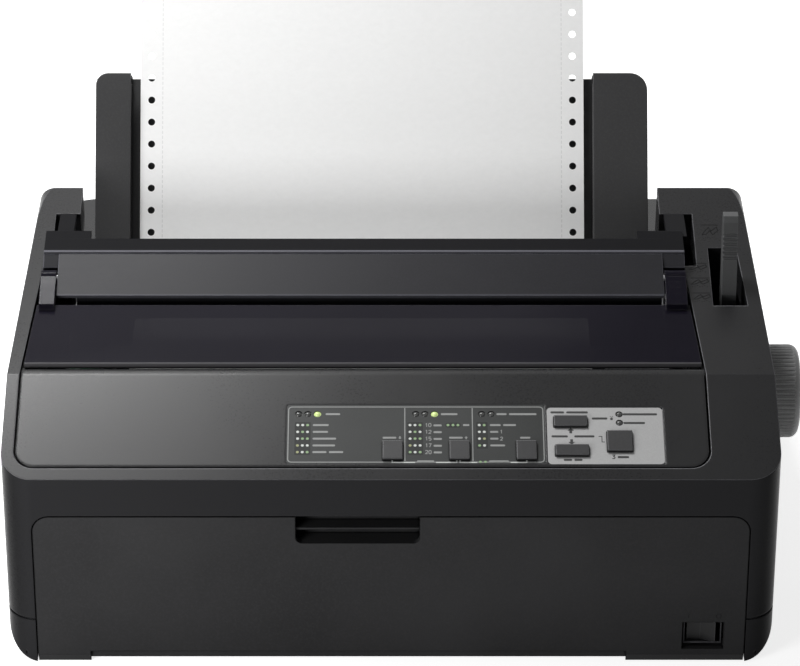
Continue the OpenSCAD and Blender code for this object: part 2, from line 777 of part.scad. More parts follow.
module control_panel() {
    color([0.16, 0.16, 0.17]) placed() difference() {
        union() {
            intersection() {
                skin(0, wall);
                along_z(front_h - 5, hump_z) rim(-seam);
                block([-half_w, front_y, 0], [half_w, cover_split - groove_w, 200]);
            }
            // sunken lip that closes the groove in front of the cover
            intersection() {
                skin(wall - 0.2, wall + 1.8);
                along_z(front_h - 5, hump_z) rim(-3.4);
                block([-half_w, cover_split - groove_w - 2, 0], [half_w, cover_split, 200]);
            }
            intersection() {
                panel_place() for (p = posts)
                    translate([p.x, p.y, -board_drop]) cylinder(r = 3.2, h = board_drop);
                case_solid(wall / 2);
            }
        }
        panel_place() {
            flat_box(legend_area, -label_t, 1);
            flat_box(silver_area, -label_t, 1);
            key_holes(0.35);
            lamp_holes();
            for (p = posts) translate([p.x, p.y, -board_drop - 1]) cylinder(r = 1.3, h = 6);
        }
    }
}

module label(area, r) {
    translate([0, 0, -label_t]) linear_extrude(label_t) round_square(area[0], area[1], r);
}

module legend_plate() {
    color([0.24, 0.25, 0.25]) placed() panel_place() difference() {
        label(legend_area, 1.2);
        key_holes(0.35);
        lamp_holes();
    }
}

module silver_plate() {
    color([0.66, 0.66, 0.66]) placed() panel_place() difference() {
        label(silver_area, 2.2);
        key_holes(0.35);
        lamp_holes();
    }
}

module indicator_lamps() {
    color([0.75, 0.9, 0.2]) placed() panel_place() for (p = lamps) translate([p.x, p.y, -board_drop]) {
        cylinder(r = lamp_r, h = board_drop - 0.4);
        translate([0, 0, board_drop - 0.4 - 0.9]) intersection() {
            sphere(r = lamp_r);
            cylinder(r = lamp_r, h = lamp_r + 1);
        }
        cylinder(r = lamp_r + 0.7, h = 3);
    }
}

module key(at, size) {
    flange = 1.3;
    panel_place() translate([at.x, at.y, 0]) {
        translate([-size.x / 2, -size.y / 2, -wall - 0.2])
            cube([size.x, size.y, wall + 0.2 + key_up]);
        translate([-size.x / 2 - flange, -size.y / 2 - flange, -wall - 1.3])
            cube([size.x + 2 * flange, size.y + 2 * flange, 1.2]);
        translate([0, 0, -board_drop + 4.2 + key_travel + 0.1])
            cylinder(r = 2, h = board_drop - 4.3 - key_travel - wall);
    }
}

module key_one() { color([0.2, 0.2, 0.21]) placed() key([square_keys[0], key_row], [key_w, key_d]); }

module key_two() { color([0.2, 0.2, 0.21]) placed() key([square_keys[1], key_row], [key_w, key_d]); }

module key_three() { color([0.2, 0.2, 0.21]) placed() key([square_keys[2], key_row], [key_w, key_d]); }

module key_load() { color([0.2, 0.2, 0.21]) placed() key(load_at, bar_key); }

module key_feed() { color([0.2, 0.2, 0.21]) placed() key(feed_at, bar_key); }

module key_pause() { color([0.2, 0.2, 0.21]) placed() key(pause_at, pause_key); }

module panel_board() {
    spots = concat([for (x = square_keys) [x, key_row]], [load_at, feed_at, pause_at]);
    color([0.1, 0.35, 0.18]) placed() panel_place() difference() {
        union() {
            flat_box(board_area, -board_drop - board_t, -board_drop);
            for (p = spots) {
                translate([p.x - 3, p.y - 3, -board_drop]) cube([6, 6, 3.4]);
                translate([p.x, p.y, -board_drop]) cylinder(r = 1.7, h = 4.2);
            }
            translate([6, 42, -board_drop - board_t - 6]) cube([24, 6, 6.5]);
        }
        for (p = posts) translate([p.x, p.y, -board_drop - board_t - 1]) cylinder(r = 1.5, h = board_t + 2);
    }
}

// smoked window with two arms that turn on the pins of the tear-off cover
module printer_cover() {
    arm_y = window_back - 4;
    arm = [[arm_y, top_z(arm_y) - window_t], [arm_y, top_z(arm_y) + 3.6],
           [cover_pin.x - 4, cover_pin.y + knuckle_r - 1], [cover_pin.x, cover_pin.y - knuckle_r],
           [window_back + 2, cover_pin.y - 11]];
    color([0.2, 0.2, 0.24, 0.6]) placed() difference() {
        union() {
            intersection() {
                skin(0, window_t);
                along_z(front_h, hump_z) rim(-seam);
                block([-half_w, cover_split + 0.8, 0], [half_w, window_back, 200]);
            }
            for (x = [arm_left, arm_right]) {
                along_x(x[0], x[1]) {
                    polygon(arm);
                    translate(cover_pin) circle(knuckle_r);
                }
            }
            // stiffening rib under the front edge
            intersection() {
                skin(window_t - eps, window_t + 3);
                block([rim_left + 14, cover_split + 4, front_h], [rim_right - 14, cover_split + 6, 200]);
            }
        }
        for (x = [arm_left, arm_right]) rod_x(x[0] - 1, x[1] + 1, cover_pin, pin_r + run_fit);
    }
}

band_front = [cover_pin.x - 14, cover_pin.y - 3.6];
band_top = [cover_pin.x + 13.7, cover_pin.y + 9.3];
strip_back = [cover_pin.x + 25.7, cover_pin.y + 11];
strip_end = [cover_pin.x + 33.2, cover_pin.y + 12];

module tear_off_cover() {
    t = 2.6;
    outline = [band_front, band_top, strip_back, strip_back - [0, t], band_top - [-0.3, t],
               band_front + [4, -1.2], band_front + [1, -2]];
    ends = [[cover_pin.x + 5.4, cover_pin.y + 3.6], band_top, strip_end, strip_end - [0, t],
            band_top - [-0.3, t], [cover_pin.x + 5.4, cover_pin.y - 0.2]];
    clear = 0.6;
    color([0.3, 0.3, 0.33]) placed() difference() {
        union() {
            along_x(arm_left[1] + clear, arm_right[0] - clear) polygon(outline);
            rod_x(arm_left[0] + 0.6, arm_right[1], band_top - [0.5, 0.6], 1.1);
            along_x(arm_left[0] + 0.6, arm_left[1] + clear + eps) polygon(ends);
            along_x(arm_right[0] - clear - eps, arm_right[1]) polygon(ends);
            along_x(arm_left[1] + clear, well_left + 8) polygon(ends);
            along_x(well_right - 14, arm_right[0] - clear) polygon(ends);
            for (x = [arm_left[1] + clear, arm_right[0] - clear - 6])
                along_x(x, x + 6) translate(cover_pin) circle(pin_r + 0.9);
            // latch tabs that reach back over the cheeks
            block([well_left - 11, strip_end.x - 4, strip_end.y - 4.4],
                  [well_left - 2, step_y - 1, strip_end.y - 1.4]);
            block([well_right + 2.3, strip_end.x - 4, strip_end.y - 4.4],
                  [well_right + 13.5, step_y - 1, strip_end.y - 1.4]);
            // apron that closes the front above the platen
            along_x(well_left + 2, well_right - 2)
                polygon([cover_pin - [10, 3.3], cover_pin - [8.4, 2.8],
                         [cover_pin.x - 8.4, frame_top_z + 1], [cover_pin.x - 10, frame_top_z + 1]]);
            // legs that stand on the side frames
            for (x = [frame_left - frame_t, frame_right]) along_x(x, x + frame_t)
                polygon([[cover_pin.x + 8, frame_top_z], cover_pin + [8, 5], cover_pin + [14, 7.8],
                         strip_back - [0, 1.5], strip_back + [2, -1.5], [strip_back.x + 2, frame_top_z]]);
            // comb of stiffening ribs under the strip
            for (i = [0 : 9]) block([-150 + 30 * i, cover_pin.x + 14.5, cover_pin.y + 3],
                                    [-148.8 + 30 * i, strip_back.x - 0.4, cover_pin.y + 8.4]);
        }
        rod_x(arm_left[1] - 1, arm_left[1] + 5.8, cover_pin, pin_r);
        rod_x(arm_right[0] - 5.8, arm_right[0] + 1, cover_pin, pin_r);
    }
}

//---------------------------------------------------------------- print mechanism

frame_top_z = platen_z + 40;

module frame_outline() {
    back = back_y - 40;
    difference() {
        polygon([[front_y + 40, frame_floor], [front_y + 30, frame_floor + 8],
                 [front_y + 30, platen_z - 14],
                 [front_y + 62, platen_z + 26], [platen_y + 20, frame_top_z], [hump_y - 8, frame_top_z],
                 [deck_y - 4, deck_h - 8], [back, deck_h - 16], [back, frame_floor]]);
        translate([platen_y, frame_floor + 20]) square([26, 22]);
        translate([platen_y + 70, frame_floor + 22]) circle(10);
    }
}

module frame_bores() {
    translate(platen_at) circle(bush_r);
    translate(rod_at) circle(rod_r);
    translate(pinch_at) circle(pinch_shaft_r + run_fit);
    translate(tractor_at) circle(tractor_shaft_r + run_fit);
    translate(support_at) circle(rod_r - 2);
}
bush_r = shaft_r + 4;

module side_frame_left() {
    color([0.72, 0.73, 0.74]) placed() along_x(frame_left - frame_t, frame_left) difference() {
        frame_outline();
        frame_bores();
    }
}

module side_frame_right() {
    color([0.72, 0.73, 0.74]) placed() {
        along_x(frame_right, frame_right + frame_t) difference() {
            frame_outline();
            frame_bores();
            translate(pinion_at) circle(6);
        }
        for (at = [front_at, rear_at]) {
            rod_x(frame_right + frame_t - eps, gear_x + gear_t + 4, at, stud_r);
            rod_x(frame_right + frame_t - eps, gear_x - 1.6, at, stud_r + 2);
        }
    }
}

module chassis_plate() {
    back = back_y - 20;
    color([0.66, 0.67, 0.68]) placed() difference() {
        union() {
            block([frame_left, front_y + 44, frame_floor], [frame_right, back, chassis_top]);
            // standing edges that meet the side frames
            for (x = [frame_left, frame_right - frame_t])
                block([x, front_y + 52, frame_floor], [x + frame_t, back_y - 50, frame_floor + 7]);
            for (p = board_feet) rod_z(chassis_top - eps, board_z, p, 3);
            for (p = supply_feet) rod_z(chassis_top - eps, board_z, p, 3);
        }
        for (p = chassis_feet) rod_z(frame_floor - 1, chassis_top + 1, p, 1.9);
    }
}

module guide_rods() {
    color([0.8, 0.8, 0.82]) placed() {
        rod_x(frame_left - frame_t, frame_right + frame_t, rod_at, rod_r);
        rod_x(frame_left - frame_t, frame_right + frame_t, support_at, rod_r - 2);
    }
}

module carriage_rail() {
    color([0.7, 0.71, 0.72]) placed() {
        block([frame_left, front_y + 32, beam_z], [frame_right, rod_at.x - 21, beam_z + 2]);
        block([frame_left, rod_at.x - 25, beam_z], [frame_right, rod_at.x - 23, beam_z + 8]);
        for (x = [frame_left, frame_right - 2]) block([x, front_y + 34, beam_z - 12],
                                                    [x + 2, rod_at.x - 24, beam_z + 1]);
    }
}

motor_r = 14;
bracket_z = belt_low - 6;

module carriage_motor() {
    color([0.25, 0.25, 0.27]) placed() {
        rod_z(chassis_top, bracket_z, [drive_x, belt_y], motor_r);
        rod_z(chassis_top + 8, bracket_z - 6, [drive_x, belt_y], motor_r + 0.8);
    }
}

module belt_brackets() {
    color([0.7, 0.71, 0.72]) placed() {
        difference() {
            block([frame_left, belt_y - 21, bracket_z], [drive_x + 20, belt_y + 21, bracket_z + 2]);
            rod_z(bracket_z - 1, bracket_z + 3, [drive_x, belt_y], 5);
        }
        block([frame_left, belt_y - 21, bracket_z], [frame_left + 2, belt_y + 21, bracket_z + 9]);
        block([tail_x - 14, belt_y - 14, bracket_z], [frame_right, belt_y + 14, bracket_z + 2]);
        block([frame_right - 2, belt_y - 14, bracket_z - 8], [frame_right, belt_y + 14, bracket_z + 1]);
        rod_z(bracket_z + 1, belt_low + belt_w + 4, [tail_x, belt_y], stud_r);
    }
}

module pulley(x, z0, bore) {
    flange = pulley_r + 2;
    difference() {
        union() {
            rod_z(belt_low - 0.5, belt_low + belt_w + 0.5, [x, belt_y], pulley_r);
            rod_z(belt_low - 1.9, belt_low - 0.5, [x, belt_y], flange);
            rod_z(belt_low + belt_w + 0.5, belt_low + belt_w + 1.7, [x, belt_y], flange);
        }
        if (bore > 0) rod_z(belt_low - 3, belt_low + belt_w + 3, [x, belt_y], bore);
        // lightening holes show that the pulley turns
        for (a = [0 : 90 : 270]) rod_z(belt_low - 3, belt_low + belt_w + 3,
                                      [x, belt_y] + away(a, pulley_r - 2.4), 0.9);
    }
    if (bore == 0) rod_z(z0, belt_low, [x, belt_y], 2.5);
}

module drive_pulley() { color([0.75, 0.7, 0.5]) placed() pulley(drive_x, bracket_z, 0); }

module idler_pulley() { color([0.75, 0.7, 0.5]) placed() pulley(tail_x, bracket_z, stud_r + run_fit); }

module belt_loop(r) {
    translate([drive_x, belt_y]) circle(r);
    translate([tail_x, belt_y]) circle(r);
    translate([drive_x, belt_y - r]) square([tail_x - drive_x, 2 * r]);
}

module carriage_belt() {
    inner = pulley_r + 0.15;
    color([0.07, 0.07, 0.07]) placed() along_z(belt_low, belt_low + belt_w) difference() {
        belt_loop(inner + belt_t);
        belt_loop(inner);
    }
}

head_front = platen_y - wrap_r - paper_t / 2 - 1.7;

module print_carriage() {
    clamp_y = belt_y - pulley_r - 0.15 - belt_t / 2;
    color([0.12, 0.12, 0.13]) placed() difference() {
        union() {
            block([home_x - carriage_half, rod_at.x - 14, rod_at.y - 9.5],
                  [home_x + carriage_half, rod_at.x + 15, rod_at.y + 9.5]);
            // slider on the rail
            block([home_x - carriage_half + 4, rod_at.x - 28, rod_at.y + 4.4],
                  [home_x + carriage_half - 4, rod_at.x - 13, rod_at.y + 9.5]);
            // belt clamp
            block([home_x - 8, clamp_y - 4, belt_low - 2], [home_x + 8, clamp_y + 4, rod_at.y - 9]);
        }
        rod_x(home_x - carriage_half - 1, home_x + carriage_half + 1, rod_at, rod_r + run_fit);
        block([home_x - 9, clamp_y - belt_t / 2 - fit, belt_low - fit],
              [home_x + 9, clamp_y + belt_t / 2 + fit, belt_low + belt_w + fit]);
        // seat of the print head
        block([home_x - 18.2, rod_at.x - 15, rod_at.y + 7.6],
              [home_x + 18.2, rod_at.x + 13, rod_at.y + 12]);
        // relief in the mid of the slider
        block([home_x - 10, rod_at.x - 29, rod_at.y + 4], [home_x + 10, rod_at.x - 20, rod_at.y + 12]);
    }
}

module print_head() {
    base = rod_at.y + 7.6;
    color([0.5, 0.5, 0.52]) placed() {
        block([home_x - 18, rod_at.x - 13, base], [home_x + 18, rod_at.x + 12, base + 8]);
        // fins of the heat sink
        for (i = [0 : 6]) block([home_x - 18 + 5.5 * i, rod_at.x - 13, base + 7],
                                [home_x - 15 + 5.5 * i, rod_at.x + 10, base + 27]);
        block([home_x - 13, rod_at.x - 9, base + 7], [home_x + 13, rod_at.x + 8, base + 22]);
        // nose that holds the wires
        block([home_x - 7, rod_at.x + 7, base + 4], [home_x + 7, head_front - 3, base + 18]);
        block([home_x - 3.5, head_front - 4, base + 8], [home_x + 3.5, head_front, base + 16]);
    }
}

knob_at = [cartridge_left + 22, front_y + 38];

module ribbon_cartridge() {
    top = beam_z + 20;
    tip = head_front - 4;
    color([0.09, 0.09, 0.1]) placed() {
        difference() {
            union() {
                block([cartridge_left, front_y + 33, beam_z + 2], [cartridge_right, rod_at.x - 29, top]);
                for (x = [cartridge_left, cartridge_right - arm_w])
                    block([x, rod_at.x - 30, rod_at.y + rod_r + 0.6], [x + arm_w, tip, top]);
                for (x = [cartridge_left + 50 : 40 : cartridge_right - 40])
                    block([x, front_y + 34, top - 1], [x + 1.2, rod_at.x - 30, top + 0.6]);
            }
            rod_z(top - 3, top + 2, knob_at, 8);
            rod_z(top - 8, top + 2, knob_at, 2 + run_fit);
            for (x = [cartridge_left + arm_w - 3, cartridge_right - arm_w - eps])
                block([x, tip - 12, rod_at.y + 13.4], [x + 3 + eps, tip + 1, rod_at.y + 25]);
        }
        // ink ribbon, from arm to arm in front of the paper
        block([cartridge_left + arm_w - 2.6, head_front + 0.8, rod_at.y + 14],
              [cartridge_right - arm_w + 2.6, head_front + 1, rod_at.y + 25]);
        for (x = [cartridge_left + arm_w - 2.6, cartridge_right - arm_w + 2.4])
            block([x, tip - 6, rod_at.y + 14], [x + 0.2, head_front + 1, rod_at.y + 25]);
    }
}

module ribbon_knob() {
    top = beam_z + 20;
    color([0.2, 0.35, 0.7]) placed() difference() {
        union() {
            rod_z(top - 2.5, top + 5, knob_at, 7.5);
            rod_z(top - 7.5, top - 2, knob_at, 2);
        }
        for (a = [0 : 30 : 330]) rod_z(top - 2, top + 6, knob_at + away(a, 7.9), 1);
    }
}

//---------------------------------------------------------------- feed

roller_lo = paper_lo - 7;
roller_hi = paper_hi + 7;

module platen_roller() {
    color([0.08, 0.08, 0.08]) placed() difference() {
        rod_x(roller_lo, roller_hi, platen_at, platen_r);
        rod_x(roller_lo - 1, roller_hi + 1, platen_at, shaft_r);
    }
}

module platen_shaft() {
    end = half_w + knob_out - 5;
    color([0.8, 0.8, 0.82]) placed() {
        rod_x(frame_left - frame_t - 4, end, platen_at, shaft_r);
    }
}

module platen_gear() {
    color([0.85, 0.83, 0.78]) placed() gear(platen_at, platen_teeth, platen_phase, shaft_r);
}

knob_ribs = 60;

module platen_knob() {
    lo = half_w + 1.2;
    hi = half_w + knob_out;
    edge = 5;
    high = hi - lo;
    color([0.36, 0.36, 0.37]) placed() difference() {
        union() {
            translate([lo, platen_y, platen_z]) rotate([0, 90, 0]) rotate_extrude($fn = 128)
                polygon(concat([[0, 0], [knob_r - 1.2, 0], [knob_r, 1.2], [knob_r, high - edge]],
                    [for (a = [10 : 10 : 90]) [knob_r - edge, high - edge] + away(a, edge)],
                    [[knob_r - edge - 2, high], [knob_r - edge - 3, high - 0.6], [0, high - 0.6]]));
            rod_x(half_w - 14, lo + eps, platen_at, knob_neck_r - 0.5);
        }
        rod_x(half_w - 15, hi - 5, platen_at, shaft_r);
        for (k = [0 : knob_ribs - 1])
            rod_x(lo - 1, hi + 1, platen_at + away(k * 360 / knob_ribs, knob_r + 0.45), 0.85, $fn = 16);
    }
}

module feed_motor() {
    half = 21;
    back = frame_right - 28;
    color([0.2, 0.2, 0.22]) placed() difference() {
        union() {
            block([back, pinion_at.x - half, pinion_at.y - half],
                  [frame_right, pinion_at.x + half, pinion_at.y + half]);
            rod_x(frame_right - eps, frame_right + frame_t - 0.5, pinion_at, 5.8);
        }
        rod_x(frame_right - 10, frame_right + frame_t + 1, pinion_at, 2.5 + run_fit);
        for (s = [-1, 1], q = [-1, 1]) translate([0, pinion_at.x + s * half, pinion_at.y + q * half])
            rotate([45, 0, 0]) translate([back - 1, -3, -3]) cube([40, 6, 6]);
    }
}

module feed_pinion() {
    color([0.8, 0.7, 0.35]) placed() {
        along_x(gear_x, gear_x + gear_t) translate(pinion_at) gear_outline(pinion_teeth, pinion_phase);
        rod_x(frame_right - 9, gear_x + gear_t + 1, pinion_at, 2.5);
    }
}

module idler_gear_front() {
    color([0.85, 0.83, 0.78]) placed() gear(front_at, front_teeth, front_phase, stud_r + run_fit);
}

module idler_gear_rear() {
    color([0.85, 0.83, 0.78]) placed() gear(rear_at, rear_teeth, rear_phase, stud_r + run_fit);
}

module tractor_gear() {
    color([0.85, 0.83, 0.78]) placed() gear(tractor_at, tractor_teeth, tractor_phase, tractor_shaft_r);
}

module tractor_shaft() {
    color([0.8, 0.8, 0.82]) placed() {
        rod_x(frame_left - frame_t - 2, gear_x + gear_t + 2, tractor_at, tractor_shaft_r);
    }
}

module platen_bushes() {
    color([0.85, 0.8, 0.6]) placed() for (x = [frame_left - frame_t, frame_right]) difference() {
        union() {
            rod_x(x, x + frame_t, platen_at, bush_r);
            rod_x(x + frame_t, x + frame_t + 1, platen_at, bush_r + 2.5);
        }
        rod_x(x - 3, x + frame_t + 3, platen_at, shaft_r + run_fit);
    }
}

module pinch_roller() {
    mid = (paper_lo + paper_hi) / 2;
    color([0.12, 0.12, 0.12]) placed() {
        rod_x(frame_left - frame_t, frame_right + frame_t, pinch_at, pinch_shaft_r);
        for (x = [mid - 105, mid - 45, mid + 15, mid + 75]) rod_x(x, x + 30, pinch_at, pinch_r);
    }
}

tractor_half = 8;
tractor_top = run_low - paper_t / 2 - 0.35;
flap_pin_r = 1.3;

module tractor_body(x, out) {
    hinge = [x + out * (tractor_half + 2), run_low + 1.6];
    difference() {
        union() {
            block([x - tractor_half, tractor_y - 27, tractor_z - 12.5],
                  [x + tractor_half, tractor_y + 27, tractor_top]);
            for (y = [tractor_y - 22, tractor_y + 16]) {
                rod_y(y, y + 6, hinge, 2.9);
                along_y(y, y + 6)
                    translate([min(hinge.x, hinge.x - out * 3.4), run_low - 6]) square([3.4, 7]);
            }
            // pins of the feed belt
            for (k = [-1.5, -0.5, 0.5, 1.5]) translate([x, tractor_y + k * hole_pitch, 0]) {
                rod_z(tractor_top - 1, run_low + 1.6, [0, 0], hole_r - 0.3);
            }
        }
        rod_x(x - tractor_half - 1, x + tractor_half + 1, tractor_at, tractor_shaft_r + run_fit);
        rod_x(x - tractor_half - 1, x + tractor_half + 1, support_at, rod_r - 2);
        rod_y(tractor_y - 30, tractor_y + 30, hinge, flap_pin_r + run_fit);
    }
}

module tractor_bodies() {
    color([0.13, 0.13, 0.14]) placed() {
        tractor_body(paper_x - hole_x, -1);
        tractor_body(paper_x + hole_x, 1);
    }
}

module tractor_flap(x, out) {
    hinge = [x + out * (tractor_half + 2), run_low + 1.6];
    base = run_low + paper_t / 2 + 0.25;
    far = x - out * (tractor_half - 1);
    near = x + out * (tractor_half - 1.4);
    y0 = tractor_y - 24;
    y1 = tractor_y + 24;
    difference() {
        union() {
            block([min(near, far), y0, base], [max(near, far), y1, base + 3.6]);
            block([min(near, hinge.x), tractor_y - 15.6, base + 0.6],
                  [max(near, hinge.x), tractor_y + 15.6, base + 3]);
            rod_y(tractor_y - 15.6, tractor_y + 15.6, hinge, 2.4);
            rod_y(tractor_y - 21.5, tractor_y + 21.5, hinge, flap_pin_r);
        }
        // channel over the pins
        block([x - 2.4, y0 + 3, base - 1], [x + 2.4, y1 - 3, base + 2.2]);
    }
}

module tractor_flap_left() { color([0.16, 0.16, 0.17]) placed() tractor_flap(paper_x - hole_x, -1); }

module tractor_flap_right() { color([0.16, 0.16, 0.17]) placed() tractor_flap(paper_x + hole_x, 1); }

//---------------------------------------------------------------- paper and guide

// centre line of the sheet, from its tail under the deck round the platen and up the guide
wrap_steps = 40;
bend_steps = 18;
sheet_end = [guide_y + paper_rise * sin(guide_lean) - paper_off * cos(guide_lean),
             guide_z + paper_rise * cos(guide_lean) + paper_off * sin(guide_lean)];
sheet_line = concat([[tail_y, run_low]],
    [for (i = [0 : wrap_steps]) platen_at + away(270 - 180 * i / wrap_steps, wrap_r)],
    [for (i = [0 : bend_steps]) [bend_y, run_top + bend_r] + away(bend_turn * i / bend_steps - 90, bend_r)],
    [sheet_end]);
// the points of a line p moved d to its right
function beside(p, d) =
    [for (i = [0 : len(p) - 1])
        let (last = len(p) - 1,
             m1 = right_of(p[max(i - 1, 0)], p[max(i, 1)]),
             m2 = right_of(p[min(i, last - 1)], p[min(i + 1, last)]))
        p[i] + d * (m1 + m2) / (1 + m1 * m2)];

module continuous_paper() {
    right = beside(sheet_line, paper_t / 2);
    left = beside(sheet_line, -paper_t / 2);
    color([0.93, 0.93, 0.92]) placed() difference() {
        along_x(paper_lo, paper_hi)
            polygon(concat(right, [for (i = [len(left) - 1 : -1 : 0]) left[i]]));
        for (s = [-1, 1]) translate([paper_x + s * hole_x, 0, 0]) {
            for (k = [-2.5 : 1 : 2.5])
                rod_z(run_low - 1, run_low + 1, [0, tractor_y + k * hole_pitch], hole_r);
            for (y = [bend_y - hole_r - 1 : -hole_pitch : platen_y + hole_r])
                rod_z(run_top - 1, run_top + 1, [0, y], hole_r);
            guide_place() for (u = [first_hole_u : hole_pitch : paper_rise - 3])
                translate([0, -paper_off, u]) rotate([90, 0, 0]) cylinder(r = hole_r, h = 2, center = true);
        }
    }
}

guide_lo = well_left + 5;
guide_hi = well_right - 5;

plate_back = plate_front - plate_t;

module paper_guide() {
    color([0.14, 0.14, 0.15]) placed() {
        guide_place() {
            guide_block([guide_lo, guide_hi], [plate_back, plate_front], [-1, guide_len - 3]);
            // rolled top rail
            guide_block([guide_lo, guide_hi], [plate_back - 0.8, plate_front], [guide_len - 3.2, guide_len]);
            for (x = [guide_lo + 60 : 50 : guide_hi - 50])
                guide_block([x, x + 1.6], [plate_back - 2, plate_back + eps], [4, guide_len - 10]);
        }
        rod_x(guide_lo, guide_hi, [guide_y, guide_z], 3.4);
        rod_x(guide_lo - 4.5, guide_hi + 4.5, [guide_y, guide_z], guide_pin_r);
    }
}

// C-shaped guide that wraps one edge of the sheet and hooks over the plate's rail
module edge_guide(inner, outer, r) {
    lo = min(inner, outer);
    hi = max(inner, outer);
    web = outer < inner ? [lo, lo + 4.4] : [hi - 4.4, hi];
    front = 16.5;
    foot = 7;
    gap = 0.45;
    top = guide_len + 1.8;
    difference() {
        union() {
            guide_block([lo, hi], [front - 2.4, front], [foot, top]);
            guide_block(web, [plate_front + gap, front - 1], [foot, top]);
            guide_block([lo, hi], [plate_front + gap, plate_front + gap + 1.6], [foot, top - 5]);
            guide_block([lo, hi], [plate_back - 3, plate_front + gap + 1.6], [guide_len + 0.35, top]);
            guide_block(web, [plate_front, front - 1], [guide_len - 5, top]);
            guide_block([lo, hi], [plate_back - 3, plate_back - 1.2], [guide_len - 7, top]);
        }
        // rounded outer top corner
        translate([outer < inner ? lo + r : hi - r, 0, top - r]) rotate([90, 0, 0]) difference() {
            translate([outer < inner ? -r - 1 : 0, 0, -10]) cube([r + 1, r + 1, 40]);
            translate([0, 0, -11]) cylinder(r = r, h = 42);
        }
    }
}

edge_gap = 5.2;

module edge_guide_left() {
    color([0.15, 0.15, 0.16]) placed() guide_place()
        edge_guide(paper_lo - edge_gap, paper_lo - edge_gap - edge_left_w, 7);
}

module edge_guide_right() {
    color([0.13, 0.13, 0.14]) placed() guide_place()
        edge_guide(paper_hi + edge_gap, paper_hi + edge_gap + edge_right_w, 10);
}

module paper_release_lever() {
    half = 5.6;
    lean = 5;
    tip = lever_pivot + [6, lever_len];
    color([0.3, 0.3, 0.31]) placed() difference() {
        union() {
            along_x(lever_x - lever_w / 2, lever_x + lever_w / 2) {
                translate(lever_pivot) circle(6.5);
                polygon([lever_pivot + [-6, 2], lever_pivot + [-half, lever_len * 0.45],
                         tip + [-4.6, -3], tip + [-2.6, 0], tip + [2.6, 0], tip + [4.4, -3],
                         lever_pivot + [half + 2, lever_len * 0.45], lever_pivot + [6, 2]]);
            }
        }
        rod_x(lever_x - 10, lever_x + 10, lever_pivot, 3 + run_fit);
        // grip ridges on the front face
        for (k = [0 : 5]) along_x(lever_x - lever_w / 2 - 1, lever_x + lever_w / 2 + 1)
            translate(tip + [-6.1 - 0.44 * k, -10 - 2.6 * k]) circle(0.9);
    }
}

//---------------------------------------------------------------- electronics

board_x = [-158, -34];
board_feet = [for (x = [board_x[0] + 8, board_x[1] - 8], y = [-10, 120]) [x, y]];
supply_feet = [[10, 20], [124, 20], [10, 110], [124, 110]];

module main_board() {
    top = board_z + 1.6;
    color([0.1, 0.35, 0.18]) placed() difference() {
        union() {
            block([board_x[0], -20, board_z], [board_x[1], back_y - 6, top]);
            block([-120, 20, top - eps], [-92, 48, top + 3.2]);
            block([-80, 24, top - eps], [-62, 36, top + 3]);
            block([-80, 46, top - eps], [-62, 58, top + 3]);
            for (x = [-140 : 12 : -104]) block([x, 70, top - eps], [x + 8, 74, top + 8]);
            for (y = [80 : 16 : 128]) rod_z(top - eps, top + 11, [-48, y], 4.5);
            block([-140, -14, top - eps], [-110, -8, top + 7]);
            block([-100, -14, top - eps], [-76, -8, top + 7]);
        }
        for (p = board_feet) rod_z(board_z - 1, top + 1, p, 1.6);
    }
}

module interface_ports() {
    top = board_z + 1.6;
    color([0.55, 0.55, 0.57]) placed() {
        difference() {
            union() {
                block([-154, back_y - 18, top], [-94, back_y, top + 12]);
                block([-84, back_y - 18, top], [-71, back_y, top + 11]);
            }
            block([-149, back_y - 6, top + 3], [-99, back_y + 1, top + 9]);
            block([-81.5, back_y - 12, top + 2], [-73.5, back_y + 1, top + 9]);
        }
        block([-147, back_y - 6.5, top + 5.2], [-101, back_y - 1, top + 6.8]);
        block([-80, back_y - 12.5, top + 4], [-75, back_y - 4, top + 7]);
    }
}

module power_supply() {
    top = board_z + 1.6;
    color([0.35, 0.3, 0.15]) placed() difference() {
        union() {
            block([2, 12, board_z], [132, 118, top]);
            block([20, 60, top - eps], [56, 96, top + 28]);
            rod_z(top - eps, top + 26, [84, 80], 12);
            rod_z(top - eps, top + 20, [110, 60], 8);
            block([60, 18, top - eps], [118, 21, top + 24]);
            for (x = [64 : 16 : 112]) block([x, 21, top - eps], [x + 2, 34, top + 22]);
            block([14, 22, top - eps], [44, 40, top + 12]);
        }
        for (p = supply_feet) rod_z(board_z - 1, top + 1, p, 1.6);
    }
}

module power_inlet() {
    x0 = inlet_x[0];
    x1 = inlet_x[1];
    color([0.05, 0.05, 0.06]) placed() difference() {
        union() {
            block([x0, back_y - 24, 16], [x1, back_y, 36.5]);
            for (x = [x0 + 6, x0 + 13, x0 + 20]) block([x, back_y - 30, 22], [x + 2, back_y - 23, 28]);
        }
        difference() {
            block([x0 + 2, back_y - 16, 18], [x1 - 2, back_y + 1, 34.5]);
            for (p = [[x0 + 6, 24], [x1 - 8, 24], [x0 + 13, 28]])
                block([p.x, back_y - 17, p.y], [p.x + 2, back_y - 3, p.y + 4]);
        }
    }
}

